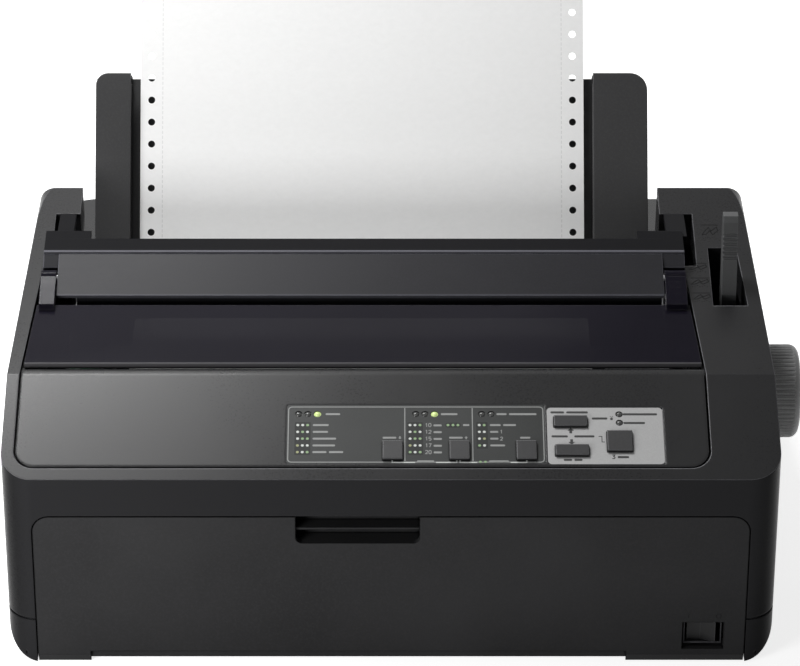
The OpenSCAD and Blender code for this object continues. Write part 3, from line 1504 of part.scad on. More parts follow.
lower_case();
upper_housing();
front_inner_panel();
control_panel();
legend_plate();
silver_plate();
indicator_lamps();
panel_board();
tear_off_cover();
hinge_pins();
chassis_plate();
side_frame_left();
side_frame_right();
guide_rods();
carriage_rail();
carriage_motor();
belt_brackets();
carriage_belt();
ribbon_cartridge();
feed_motor();
platen_bushes();
tractor_bodies();
main_board();
interface_ports();
power_supply();
power_inlet();
power_switch_housing();
rubber_feet();
screws();
continuous_paper();
front_door();
printer_cover();
platen_roller();
platen_shaft();
platen_gear();
platen_knob();
feed_pinion();
idler_gear_front();
idler_gear_rear();
tractor_shaft();
tractor_gear();
tractor_flap_left();
tractor_flap_right();
pinch_roller();
print_carriage();
print_head();
drive_pulley();
idler_pulley();
ribbon_knob();
paper_release_lever();
paper_guide();
edge_guide_left();
edge_guide_right();
key_one();
key_two();
key_three();
key_load();
key_feed();
key_pause();
power_rocker();
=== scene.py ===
import json
import math

import bmesh
import bpy
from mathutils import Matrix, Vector


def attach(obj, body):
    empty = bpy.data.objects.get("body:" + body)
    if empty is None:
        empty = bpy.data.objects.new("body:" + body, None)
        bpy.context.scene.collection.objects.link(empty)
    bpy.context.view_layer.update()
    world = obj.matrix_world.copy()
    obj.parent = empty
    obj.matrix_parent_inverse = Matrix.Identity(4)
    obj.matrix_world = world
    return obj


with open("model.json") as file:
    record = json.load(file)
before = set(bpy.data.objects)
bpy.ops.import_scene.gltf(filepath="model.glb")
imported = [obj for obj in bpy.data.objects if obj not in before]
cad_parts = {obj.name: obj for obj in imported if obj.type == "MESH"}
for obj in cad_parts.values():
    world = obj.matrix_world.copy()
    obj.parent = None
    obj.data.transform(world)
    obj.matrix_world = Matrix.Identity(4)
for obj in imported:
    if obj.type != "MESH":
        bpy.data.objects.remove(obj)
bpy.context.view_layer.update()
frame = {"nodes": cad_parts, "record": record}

MM = 0.001

# ---------------------------------------------------------------- places, in millimetres
# The case is drawn about its own middle, which lies left of the whole machine's.
CASE_X = -9.5
FRONT_Y = -175.0
CREASE_Z = 114.5
PANEL_TILT = math.radians(22.5)
RIDGE_Y, RIDGE_Z = -109.8, 141.507
TOP_TILT = math.radians(12.5)
WINDOW_FRONT_Y = -101.5
BAND_FRONT_Y = -50.0
BAND_BEAD_Y = -22.4
BAND_REAR_Y = -21.4
PAPER_MIDDLE_X = -26.1
TEAR_LINE_X = 114.3
LIT_LAMPS_X = (-38.9, 23.0)


def on_panel(x, run, up):
    """A point of the control panel's slope: across, up the slope from the crease, out of it."""
    return Vector((
        x + CASE_X,
        FRONT_Y + run * math.cos(PANEL_TILT) - up * math.sin(PANEL_TILT),
        CREASE_Z + run * math.sin(PANEL_TILT) + up * math.cos(PANEL_TILT),
    )) * MM


def on_top(x, y, up):
    """A point of the top slope behind the ridge: across, back, out of it."""
    return Vector((
        x + CASE_X,
        y - up * math.sin(TOP_TILT),
        RIDGE_Z + (y - RIDGE_Y) * math.tan(TOP_TILT) + up * math.cos(TOP_TILT),
    )) * MM


def on_front(x, z, out):
    """A point of the upright front face."""
    return Vector((x + CASE_X, FRONT_Y - out, z)) * MM


# ---------------------------------------------------------------- camera, lights, stage
scene = bpy.context.scene
scene.view_settings.view_transform = "Standard"

CAMERA_AT = (-0.0095, -1.896, 1.1363)
CAMERA_TURN = math.radians(61.5)
CAMERA_LENS = 172.35
CAMERA_SHIFT = 0.01125

# name, place, what it points at, width and height, watts
SOFTBOXES = (
    ("key_overhead", (-0.42, 0.24, 1.13), (-0.27, -0.10, 0.1), (0.60, 0.14), 16.5),
    ("fill_front", (-0.44, -0.66, 0.22), (-0.17, -0.1, 0.03), (0.3, 0.24), 3.0),
    ("back_strip", (-0.30, 0.80, 1.25), (-0.05, 0.0, 0.15), (0.9, 0.4), 2.6),
)
ROOM_LIGHT = 0.055
WHITE = 1.0
FLOOR_HALF = 12.0
FLOOR_COLOUR = 0.86
FLOOR_GLOW = 0.80


def add_camera():
    data = bpy.data.cameras.new("view_camera")
    data.sensor_width = 36
    data.lens = CAMERA_LENS
    data.shift_x = CAMERA_SHIFT
    data.clip_start = 0.05
    data.clip_end = 60
    obj = bpy.data.objects.new("view_camera", data)
    scene.collection.objects.link(obj)
    obj.location = CAMERA_AT
    obj.rotation_euler = (CAMERA_TURN, 0, 0)
    scene.camera = obj


def add_softbox(name, at, aim, size, power):
    """A rectangular lamp that the camera doesn't see."""
    data = bpy.data.lights.new(name, "AREA")
    data.shape = "RECTANGLE"
    data.size, data.size_y = size
    data.energy = power
    obj = bpy.data.objects.new(name, data)
    scene.collection.objects.link(obj)
    obj.location = at
    obj.rotation_euler = (Vector(aim) - Vector(at)).to_track_quat("-Z", "Y").to_euler()
    obj.visible_camera = False


add_camera()
for softbox in SOFTBOXES:
    add_softbox(*softbox)


def sees_background(tree):
    """1 for rays that show the background: the camera's, and those mirrored or let through."""
    path = tree.nodes.new("ShaderNodeLightPath")
    total = None
    for out in ("Is Camera Ray", "Is Glossy Ray", "Is Transmission Ray"):
        if total is None:
            total = path.outputs[out]
            continue
        add = tree.nodes.new("ShaderNodeMath")
        add.operation = "MAXIMUM"
        tree.links.new(total, add.inputs[0])
        tree.links.new(path.outputs[out], add.inputs[1])
        total = add.outputs[0]
    return total


def build_world():
    """Low even light in the room, and plain white where the background itself is seen."""
    world = bpy.data.worlds.new("studio")
    scene.world = world
    world.use_nodes = True
    tree = world.node_tree
    tree.nodes.clear()
    out = tree.nodes.new("ShaderNodeOutputWorld")
    mix = tree.nodes.new("ShaderNodeMixShader")
    room = tree.nodes.new("ShaderNodeBackground")
    seen = tree.nodes.new("ShaderNodeBackground")
    for light, strength in ((room, ROOM_LIGHT), (seen, WHITE)):
        light.inputs["Color"].default_value = (1, 1, 1, 1)
        light.inputs["Strength"].default_value = strength
    tree.links.new(sees_background(tree), mix.inputs[0])
    tree.links.new(room.outputs[0], mix.inputs[1])
    tree.links.new(seen.outputs[0], mix.inputs[2])
    tree.links.new(mix.outputs[0], out.inputs["Surface"])


build_world()


def build_floor():
    """A pale floor that keeps the shadows and looks white where it is seen."""
    mesh = bpy.data.meshes.new("studio_floor")
    corners = [(x * FLOOR_HALF, y * FLOOR_HALF, 0) for x, y in ((-1, -1), (1, -1), (1, 1), (-1, 1))]
    mesh.from_pydata(corners, [], [(0, 1, 2, 3)])
    obj = bpy.data.objects.new("studio_floor", mesh)
    scene.collection.objects.link(obj)
    material = bpy.data.materials.new("floor_paint")
    material.use_nodes = True
    tree = material.node_tree
    shader = tree.nodes["Principled BSDF"]
    shader.inputs["Base Color"].default_value = (FLOOR_COLOUR, FLOOR_COLOUR, FLOOR_COLOUR, 1)
    shader.inputs["Roughness"].default_value = 0.9
    shader.inputs["Specular IOR Level"].default_value = 0.1
    lift = tree.nodes.new("ShaderNodeMath")
    lift.operation = "MULTIPLY"
    lift.inputs[1].default_value = FLOOR_GLOW
    tree.links.new(sees_background(tree), lift.inputs[0])
    shader.inputs["Emission Color"].default_value = (1, 1, 1, 1)
    tree.links.new(lift.outputs[0], shader.inputs["Emission Strength"])
    mesh.materials.append(material)


build_floor()


# ---------------------------------------------------------------- materials
RIM = 0.7 * MM
GAP_REACH = 2.2 * MM
LAMP_REACH = 2.4 * MM
# the span in which most of a noise pattern's values lie
NOISE_SPAN = (0.3, 0.7)
WINDOW_EDGE_HIGHLIGHT = (0.085, 0.083, 0.088)
PERFORATION = (0.42, 0.42, 0.42)
STITCHES_PER_METRE = 420.0


class Shade:
    """A Principled material under construction, with object-space patterns in metres."""

    def __init__(self, name):
        self.material = bpy.data.materials.new(name)
        self.material.use_nodes = True
        self.tree = self.material.node_tree
        self.bsdf = self.tree.nodes["Principled BSDF"]
        self.place = self.node("ShaderNodeTexCoord").outputs["Object"]

    def node(self, kind, **settings):
        """A new node with some of its settings."""
        made = self.tree.nodes.new(kind)
        for key, value in settings.items():
            setattr(made, key, value)
        return made

    def put(self, socket, value):
        """Links an output to a socket, or sets the socket's constant."""
        if isinstance(value, bpy.types.NodeSocket):
            self.tree.links.new(value, socket)
        else:
            socket.default_value = value

    def noise(self, scale, detail=2.0, stretch=None, roughness=0.5):
        """A noise pattern, which can be stretched along each axis."""
        made = self.node("ShaderNodeTexNoise")
        made.inputs["Scale"].default_value = scale
        made.inputs["Detail"].default_value = detail
        made.inputs["Roughness"].default_value = roughness
        source = self.place
        if stretch:
            mapping = self.node("ShaderNodeMapping")
            mapping.inputs["Scale"].default_value = stretch
            self.put(mapping.inputs["Vector"], source)
            source = mapping.outputs[0]
        self.put(made.inputs["Vector"], source)
        return made.outputs["Fac"]

    def ramp(self, value, low, high, to_low=0.0, to_high=1.0):
        """Maps low to high onto to_low to to_high, held at both ends."""
        made = self.node("ShaderNodeMapRange")
        self.put(made.inputs["Value"], value)
        made.inputs["From Min"].default_value = low
        made.inputs["From Max"].default_value = high
        made.inputs["To Min"].default_value = to_low
        made.inputs["To Max"].default_value = to_high
        return made.outputs["Result"]

    def math(self, operation, a, b=0.0):
        made = self.node("ShaderNodeMath", operation=operation)
        self.put(made.inputs[0], a)
        self.put(made.inputs[1], b)
        return made.outputs[0]

    def mix(self, factor, a, b):
        """Colour a where the factor is 0 and b where it is 1."""
        made = self.node("ShaderNodeMix", data_type="RGBA")
        self.put(made.inputs[0], factor)
        self.put(made.inputs[6], a if isinstance(a, bpy.types.NodeSocket) else (*a, 1))
        self.put(made.inputs[7], b if isinstance(b, bpy.types.NodeSocket) else (*b, 1))
        return made.outputs[2]

    def axis(self, index):
        """One coordinate of the place: 0 across, 1 back, 2 up."""
        split = self.node("ShaderNodeSeparateXYZ")
        self.put(split.inputs[0], self.place)
        return split.outputs[index]

    def bump(self, height, depth, base=None):
        """The surface normal over a height pattern, depth in metres."""
        made = self.node("ShaderNodeBump")
        made.inputs["Strength"].default_value = 1.0
        made.inputs["Distance"].default_value = depth
        self.put(made.inputs["Height"], height)
        if base is not None:
            self.put(made.inputs["Normal"], base)
        return made.outputs[0]

    def soft_normal(self, radius):
        """The surface normal with edges rounded to a radius."""
        made = self.node("ShaderNodeBevel", samples=6)
        made.inputs["Radius"].default_value = radius
        return made.outputs[0]

    def rounded(self, radius):
        """Normal of the surface with its edges rounded, and a mask of the narrow rims themselves."""
        flat = self.node("ShaderNodeNewGeometry")
        dot = self.node("ShaderNodeVectorMath", operation="DOT_PRODUCT")
        self.put(dot.inputs[0], self.soft_normal(RIM))
        self.put(dot.inputs[1], flat.outputs["Normal"])
        return self.soft_normal(radius), self.ramp(dot.outputs["Value"], 0.999, 0.975)

    def along(self, y, reach, lift=1.0):
        """A line from side to side at one y (mm), lift at its middle and 0 beyond its reach."""
        away = self.math("ABSOLUTE", self.math("SUBTRACT", self.axis(1), y * MM))
        return self.ramp(away, reach * MM, reach * 0.5 * MM, 0.0, lift)

    def unshaded_by_gaps(self, reach):
        """1 on open faces and 0 down in narrow gaps, within a reach: the mask for painted shade in gaps."""
        made = self.node("ShaderNodeAmbientOcclusion", samples=6)
        made.inputs["Distance"].default_value = reach
        return self.ramp(made.outputs["AO"], 0.40, 0.80)


def lighter(colour, factor):
    """A colour times a factor, which may be under 1."""
    return tuple(min(1.0, c * factor) for c in colour)


def moulded(name, colour, rough, grain=900.0, depth=0.00002, edge=0.0006, specular=0.5,
            rim_wear_and_light=4.5, tone=0.14, upright=None, front=1.0, rear=None, highlight_lines=()):
    """Injection-moulded plastic: fine spark-eroded grain, rims with worn colour and a painted highlight.

    Upright faces can have a gloss of their own, as from a mould whose sides are blasted coarser, and
    faces towards the front can be painted lighter, as painted light. The part behind a line can be duller
    and darker: a darker colour with painted shade. Lines from side to side, each with its y, reach and
    lift, get a painted highlight as the rims do. A rim factor under 1 darkens the rims into painted
    shade. Narrow gaps get painted shade.
    """
    s = Shade(name)
    normal, edges = s.rounded(edge)
    cloud = s.noise(11.0, 3.0)
    speck = s.noise(grain, 3.0, roughness=0.65)
    # the rims: worn colour with a painted highlight; a rim factor under 1 makes them painted shade
    rims_worn_and_lit = s.math("MULTIPLY", edges, s.ramp(s.noise(140.0, 3.0), 0.35, 0.75, 0.6, 1.0))
    body = s.mix(s.ramp(cloud, *NOISE_SPAN), lighter(colour, 1 - tone), lighter(colour, 1 + tone))
    body = s.mix(s.ramp(speck, 0.45, 0.75, 0.0, 0.35), body, lighter(colour, 1.5))
    if upright is not None:
        facing = s.node("ShaderNodeSeparateXYZ")
        s.put(facing.inputs[0], s.node("ShaderNodeTexCoord").outputs["Normal"])
        rims_worn_and_lit = s.math("MULTIPLY", rims_worn_and_lit, s.ramp(facing.outputs[2], 0.2, 0.5))
        # faces towards the front painted lighter by a factor: painted light on the front
        body = s.mix(s.ramp(facing.outputs[1], -0.8, -0.98), body, lighter(colour, front))
    # painted highlight lines from side to side, added to the rims
    for y, reach, lift in highlight_lines:
        rims_worn_and_lit = s.math("MAXIMUM", rims_worn_and_lit, s.along(y, reach, lift))
    body = s.mix(rims_worn_and_lit, body, lighter(colour, rim_wear_and_light))
    gloss = specular
    if rear is not None:
        # behind the line a darker, duller colour: the part's own darker tone with painted shade
        behind = s.ramp(s.axis(1), rear * MM, (rear + 0.6) * MM)
        body = s.mix(behind, body, lighter(colour, 0.4))
        gloss = s.ramp(behind, 0.0, 1.0, specular, specular * 0.3)
    # painted shade down in narrow gaps, on colour and on gloss
    clear = s.unshaded_by_gaps(GAP_REACH)
    s.put(s.bsdf.inputs["Base Color"], s.mix(clear, lighter(colour, 0.03), body))
    mottled = s.math("ADD", s.ramp(cloud, *NOISE_SPAN, -0.03, 0.03), s.ramp(speck, 0.3, 0.8, -0.04, 0.05))
    s.put(s.bsdf.inputs["Roughness"], s.math("ADD", mottled, rough))
    s.put(s.bsdf.inputs["Normal"], s.bump(speck, depth, normal))
    if upright is not None:
        gloss = s.ramp(facing.outputs[2], 0.35, 0.8, upright, specular)
    s.bsdf.inputs["Specular IOR Level"].default_value = specular
    if gloss is not specular:
        s.put(s.bsdf.inputs["Specular IOR Level"], s.math("MULTIPLY", clear, gloss))
    return s


def metal(name, colour, rough, stretch=(40, 900, 900), depth=0.000004, edge=0.0002):
    """Metal with a drawn or ground surface: fine lines along one axis, faint stains."""
    s = Shade(name)
    normal, edges = s.rounded(edge)
    lines = s.noise(1.0, 4.0, stretch)
    stain = s.noise(23.0, 3.0)
    body = s.mix(s.ramp(stain, 0.35, 0.7), lighter(colour, 0.88), colour)
    # rims a little lighter: worn metal with a painted highlight
    s.put(s.bsdf.inputs["Base Color"], s.mix(edges, body, lighter(colour, 1.12)))
    brushed = s.ramp(lines, *NOISE_SPAN, -0.07, 0.09)
    s.put(s.bsdf.inputs["Roughness"],
          s.math("ADD", brushed, s.ramp(stain, *NOISE_SPAN, rough, rough + 0.07)))
    s.put(s.bsdf.inputs["Normal"], s.bump(lines, depth, normal))
    s.bsdf.inputs["Metallic"].default_value = 1.0
    return s


def smoked(name, colour, rough, alpha, front_edge):
    """Polished smoke-tinted sheet: nearly clear of grain, with faint wipe marks and a painted highlight on
    its front edge.
    """
    s = Shade(name)
    normal, edges = s.rounded(0.0005)
    wipes = s.noise(1.0, 4.0, (14, 60, 60))
    haze = s.noise(9.0, 2.0)
    body = s.mix(s.ramp(haze, *NOISE_SPAN), lighter(colour, 0.9), lighter(colour, 1.12))
    # painted highlight along the front edge, and faintly on the rims
    edges = s.math("MAXIMUM", s.math("MULTIPLY", edges, 0.25), s.along(front_edge, 1.2))
    s.put(s.bsdf.inputs["Base Color"], s.mix(edges, body, WINDOW_EDGE_HIGHLIGHT))
    s.put(s.bsdf.inputs["Roughness"], s.ramp(wipes, 0.3, 0.75, rough - 0.03, rough + 0.05))
    s.put(s.bsdf.inputs["Normal"], s.bump(haze, 0.00002, normal))
    s.bsdf.inputs["Specular IOR Level"].default_value = 0.035
    s.bsdf.inputs["Alpha"].default_value = alpha
    return s


def fanfold(name, colour):
    """Uncoated paper: pulp fibres, a little cloudiness, a perforated tear line along each side."""
    s = Shade(name)
    pulp = s.noise(1.0, 5.0, (260, 260, 420), roughness=0.7)
    cloud = s.noise(16.0, 3.0)
    body = s.mix(s.ramp(pulp, 0.35, 0.7), lighter(colour, 0.965), colour)
    body = s.mix(s.ramp(cloud, 0.35, 0.7, 0.0, 0.3), body, lighter(colour, 0.97))
    from_middle = s.math("ABSOLUTE", s.math("SUBTRACT", s.axis(0), PAPER_MIDDLE_X * MM))
    from_tear = s.math("ABSOLUTE", s.math("SUBTRACT", from_middle, TEAR_LINE_X * MM))
    line = s.ramp(from_tear, 0.0003, 0.00012)
    along = s.math("FRACT", s.math("MULTIPLY", s.axis(2), STITCHES_PER_METRE))
    stitch = s.math("GREATER_THAN", along, 0.35)
    cut = s.math("MULTIPLY", s.math("MULTIPLY", line, stitch), 0.4)
    s.put(s.bsdf.inputs["Base Color"], s.mix(cut, body, PERFORATION))
    s.put(s.bsdf.inputs["Roughness"], s.ramp(pulp, *NOISE_SPAN, 0.82, 0.95))
    s.put(s.bsdf.inputs["Normal"], s.bump(pulp, 0.00003))
    s.bsdf.inputs["Specular IOR Level"].default_value = 0.2
    return s


def circuit(name, colour):
    """Solder-masked board: raised tracks in a fine grid under a glossy lacquer."""
    s = Shade(name)
    tracks = s.node("ShaderNodeTexBrick")
    tracks.inputs["Scale"].default_value = 160.0
    tracks.inputs["Mortar Size"].default_value = 0.05
    s.put(tracks.inputs["Vector"], s.place)
    cloud = s.noise(40.0, 3.0)
    body = s.mix(tracks.outputs["Fac"], colour, lighter(colour, 1.6))
    s.put(s.bsdf.inputs["Base Color"], s.mix(s.ramp(cloud, 0.4, 0.7, 0.0, 0.4), body, lighter(colour, 0.6)))
    s.put(s.bsdf.inputs["Roughness"], s.ramp(cloud, *NOISE_SPAN, 0.22, 0.4))
    s.put(s.bsdf.inputs["Normal"], s.bump(tracks.outputs["Fac"], 0.00004))
    return s


def lenses(name, colour, lit_at):
    """Clear lamps: two of them lit yellow-green, the others dark inside."""
    s = Shade(name)
    lit = 0.0
    for x in lit_at:
        near = s.math("ABSOLUTE", s.math("SUBTRACT", s.axis(0), (x + CASE_X) * MM))
        lit = s.math("MAXIMUM", lit, s.math("LESS_THAN", near, LAMP_REACH))
    cloud = s.noise(900.0, 2.0)
    dark = s.mix(s.ramp(cloud, *NOISE_SPAN), (0.020, 0.021, 0.020), (0.045, 0.046, 0.044))
    glow = s.mix(s.ramp(cloud, *NOISE_SPAN), colour, lighter(colour, 1.15))
    s.put(s.bsdf.inputs["Base Color"], s.mix(lit, dark, glow))
    s.put(s.bsdf.inputs["Emission Color"], s.mix(lit, (0, 0, 0), glow))
    s.bsdf.inputs["Emission Strength"].default_value = 0.5
    s.put(s.bsdf.inputs["Roughness"], s.ramp(cloud, *NOISE_SPAN, 0.16, 0.3))
    return s


def ink(name, colour, rough=0.55, specular=0.2):
    """Screen-printed ink: an even film with a slight speckle of the surface under it."""
    s = Shade(name)
    speck = s.noise(2400.0, 2.0)
    s.put(s.bsdf.inputs["Base Color"],
          s.mix(s.ramp(speck, 0.35, 0.7), lighter(colour, 0.9), lighter(colour, 1.05)))
    s.put(s.bsdf.inputs["Roughness"], s.ramp(speck, *NOISE_SPAN, rough - 0.05, rough + 0.07))
    s.put(s.bsdf.inputs["Normal"], s.bump(speck, 0.000006))
    s.bsdf.inputs["Specular IOR Level"].default_value = specular
    return s


SLOTS = {
    # the case's front faces painted lighter (front=1.8) and its top rims given a strong painted highlight
    "case": moulded("case_plastic", (0.0105, 0.0105, 0.0112), 0.30, edge=0.0010,
                    specular=0.14, upright=0.03, front=1.8, rim_wear_and_light=16.0),
    # the door coloured lighter than the case's plastic as painted sheen; its rims darkened to painted shade
    # at the seams
    "door": moulded("door_plastic", (0.0290, 0.0290, 0.0300), 0.38, specular=0.03, edge=0.0004,
                    rim_wear_and_light=0.05),
    "panel": moulded("panel_plastic", (0.0070, 0.0070, 0.0075), 0.30, edge=0.0020, specular=0.18,
                     rim_wear_and_light=6.0),
    "cover_smoke": smoked("smoked_window", (0.0075, 0.0066, 0.0115), 0.16, 0.92, WINDOW_FRONT_Y),
    # the band's strip behind BAND_REAR_Y darker with painted shade; painted highlight lines on the band's
    # front edge and bead
    "cover_grey": moulded("cover_plastic", (0.0150, 0.0150, 0.0175), 0.38, edge=0.0008, specular=0.09,
                          rim_wear_and_light=9.0, rear=BAND_REAR_Y,
                          highlight_lines=((BAND_FRONT_Y, 1.2, 0.25), (BAND_BEAD_Y, 1.5, 0.65))),
    "legend": moulded("legend_film", (0.034, 0.0355, 0.035), 0.36, grain=1600, depth=0.000008,
                      edge=0.0001, specular=0.12, rim_wear_and_light=1.2),
    "silver_film": moulded("silver_film", (0.330, 0.330, 0.330), 0.42, grain=1600, depth=0.000006,
                           edge=0.0001, specular=0.3, rim_wear_and_light=1.1, tone=0.05),
    "key_dark": moulded("key_plastic", (0.030, 0.030, 0.031), 0.36, edge=0.0009, specular=0.2),
    "lamp": lenses("lamp_lens", (0.42, 0.52, 0.20), LIT_LAMPS_X),
    "steel": metal("zinc_steel", (0.60, 0.60, 0.61), 0.34),
    "rod": metal("ground_rod", (0.75, 0.75, 0.77), 0.12),
    "motor": moulded("motor_paint", (0.035, 0.035, 0.038), 0.4, specular=0.4),
    "head": metal("cast_head", (0.50, 0.50, 0.52), 0.45, (500, 500, 500), 0.00004, 0.0005),
    "mechanism": moulded("mechanism_plastic", (0.020, 0.020, 0.022), 0.5, specular=0.25),
    "gear": moulded("acetal", (0.72, 0.69, 0.61), 0.38, edge=0.0002, rim_wear_and_light=1.1, tone=0.05),
    "brass": metal("turned_brass", (0.75, 0.60, 0.30), 0.25, (700, 60, 60)),
    "bush": moulded("bearing_plastic", (0.56, 0.52, 0.41), 0.5, edge=0.0002, rim_wear_and_light=1.1, tone=0.06),
    "rubber": moulded("rubber", (0.018, 0.018, 0.019), 0.8, grain=500, depth=0.00005, specular=0.2),
    "board": circuit("solder_mask", (0.020, 0.140, 0.060)),
    "port": metal("plated_shell", (0.55, 0.55, 0.57), 0.3),
    "knob": moulded("knob_plastic", (0.260, 0.261, 0.262), 0.42, edge=0.0003, specular=0.3, rim_wear_and_light=2.0),
    "lever": moulded("lever_plastic", (0.045, 0.046, 0.047), 0.42, edge=0.0005, specular=0.3, rim_wear_and_light=2.0),
    "guide": moulded("guide_plastic", (0.0440, 0.0440, 0.0450), 0.42, edge=0.0010, specular=0.12, rim_wear_and_light=2.4),
    "blue": moulded("blue_plastic", (0.05, 0.15, 0.48), 0.4),
    "paper": fanfold("fanfold_paper", (0.88, 0.88, 0.875)),
}
ROCKER = moulded("rocker_plastic", (0.0100, 0.0100, 0.0105), 0.36, edge=0.0005, specular=0.2)
for part in frame["record"]["subparts"]:
    mesh = frame["nodes"][part["node"]].data
    mesh.materials.clear()
    mesh.materials.append(SLOTS[part["material_slot"]].material)
frame["nodes"]["power_rocker"].data.materials[0] = ROCKER.material


# ---------------------------------------------------------------- printing and raised marks
class Print:
    """Thin raised shapes drawn flat and set on a surface, all in one mesh."""

    def __init__(self, surface, low=-0.01, high=0.04):
        self.surface, self.low, self.high = surface, low, high
        self.form = bmesh.new()

    def points(self, pairs):
        low = [self.form.verts.new(self.surface(a, b, self.low)) for a, b in pairs]
        high = [self.form.verts.new(self.surface(a, b, self.high)) for a, b in pairs]
        return low, high

    def area(self, pairs):
        """A filled outline, counter-clockwise."""
        low, high = self.points(pairs)
        self.form.faces.new(high)
        self.form.faces.new(list(reversed(low)))
        for i in range(len(pairs)):
            j = (i + 1) % len(pairs)
            self.form.faces.new((low[i], low[j], high[j], high[i]))

    def line(self, pairs, width, closed=False):
        """A stroke of one width along a path."""
        count = len(pairs)
        left, right = [], []
        for i, at in enumerate(pairs):
            before = pairs[i - 1] if i or closed else at
            after = pairs[(i + 1) % count] if i + 1 < count or closed else at
            a = (Vector(at) - Vector(before)).normalized()
            b = (Vector(after) - Vector(at)).normalized()
            along = (a + b).normalized()
            reach = width / 2 / max(0.5, along.dot(b if b.length else a))
            side = Vector((-along.y, along.x)) * reach
            left.append(Vector(at) + side)
            right.append(Vector(at) - side)
        left_low, left_high = self.points(left)
        right_low, right_high = self.points(right)
        for i in range(count if closed else count - 1):
            j = (i + 1) % count
            for four in ((left_high[j], left_high[i], right_high[i], right_high[j]),
                         (left_low[i], left_low[j], right_low[j], right_low[i]),
                         (left_high[i], left_high[j], left_low[j], left_low[i]),
                         (right_low[i], right_low[j], right_high[j], right_high[i])):
                self.form.faces.new(four)
        if not closed:
            self.form.faces.new((left_low[0], right_low[0], right_high[0], left_high[0]))
            self.form.faces.new((right_low[-1], left_low[-1], left_high[-1], right_high[-1]))

    def dot(self, x, y, radius, sides=20):
        self.area([(x + radius * math.cos(t), y + radius * math.sin(t))
                   for t in (2 * math.pi * k / sides for k in range(sides))])

    def bar(self, x0, x1, y, height, corner=None):
        """A rounded bar, centred on y."""
        self.area(round_box(x0, y - height / 2, x1, y + height / 2,
                            height / 2.4 if corner is None else corner))

    def arrow(self, x, y, size, way):
        """A short stemmed arrow that points up (1) or down (-1) the slope."""
        shape = [(0, 1), (-1, 0), (-0.4, 0), (-0.4, -1), (0.4, -1), (0.4, 0), (1, 0)]
        pairs = [(x + a * size, y + b * size * way) for a, b in shape]
        self.area(pairs if way > 0 else list(reversed(pairs)))

    def digits(self, figures, x, y, height, stroke):
        """Plain figures, the first one's left side at x, centred on y."""
        step = height * 0.82
        for k, figure in enumerate(figures):
            for path, closed in FIGURES[figure]:
                self.line([(x + k * step + a * height * 0.56, y + (b - 0.5) * height) for a, b in path],
                          stroke, closed)

    def finish(self, name, body, slot, shade):
        """Makes the piece, which rides on a body and has a material; the slot argument is not used."""
        bmesh.ops.recalc_face_normals(self.form, faces=self.form.faces)
        mesh = bpy.data.meshes.new(name)
        self.form.to_mesh(mesh)
        self.form.free()
        obj = bpy.data.objects.new(name, mesh)
        scene.collection.objects.link(obj)
        mesh.materials.append(shade.material)
        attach(obj, body)


# strokes of plain figures in a box one wide and one high
FIGURES = {
    "0": [([(0.25, 0), (0.75, 0), (1, 0.2), (1, 0.8), (0.75, 1), (0.25, 1), (0, 0.8), (0, 0.2)], True)],
    "1": [([(0.2, 0.78), (0.6, 1), (0.6, 0)], False)],
    "2": [([(0, 0.8), (0.25, 1), (0.75, 1), (1, 0.8), (1, 0.6), (0, 0), (1, 0)], False)],
    "3": [([(0, 1), (1, 1), (0.45, 0.6), (0.8, 0.55), (1, 0.35), (1, 0.15), (0.75, 0), (0.2, 0), (0, 0.12)],
           False)],
    "5": [([(0.95, 1), (0.1, 1), (0.05, 0.55), (0.7, 0.6), (1, 0.4), (1, 0.2), (0.7, 0), (0, 0.05)], False)],
    "7": [([(0, 1), (1, 1), (0.35, 0)], False)],
}


def round_box(x0, y0, x1, y1, radius, steps=5):
    """Outline of a rectangle with rounded corners, counter-clockwise."""
    pairs = []
    for cx, cy, start in ((x1 - radius, y0 + radius, -90), (x1 - radius, y1 - radius, 0),
                          (x0 + radius, y1 - radius, 90), (x0 + radius, y0 + radius, 180)):
        for k in range(steps + 1):
            turn = math.radians(start + 90 * k / steps)
            pairs.append((cx + radius * math.cos(turn), cy + radius * math.sin(turn)))
    return pairs


GREY_INK = ink("grey_ink", (0.250, 0.255, 0.251))
PALE_INK = ink("pale_ink", (0.54, 0.56, 0.54))
GREEN_INK = ink("green_ink", (0.235, 0.340, 0.190))
OLIVE_INK = ink("olive_ink", (0.300, 0.310, 0.170))
BACK_INK = ink("back_ink", (0.008, 0.009, 0.0085))
BLACK_INK = ink("black_ink", (0.030, 0.030, 0.030))
# near-black and dull: painted shade for marks pressed into the case
PAINTED_PICTURE_SHADE = ink("painted_picture_shade", (0.0035, 0.0035, 0.0036), 0.7, 0.01)

ROWS = (36.2, 31.7, 27.2, 22.7, 18.3)
LAMP_ROW = 43.5
KEY_ROW = 27.8
FOOT_ROW = 12.2
BRACKET_ROW = 11.5
DOT_R = 0.78
WORD = 1.25
STROKE = 0.42
FRAME_STROKE = 0.55

# dark fields under the state tables
backs = Print(on_panel, high=0.02)
for x0, x1, y0, y1 in ((-50.8, -42.4, 16.4, 38.2), (8.6, 16.9, 16.4, 38.2), (45.0, 51.0, 20.6, 38.3)):
    backs.area(round_box(x0, y0, x1, y1, 0.7))
backs.bar(28.8, 36.8, ROWS[0], 3.2, 1.2)
backs.finish("state_fields", "base", "legend", BACK_INK)

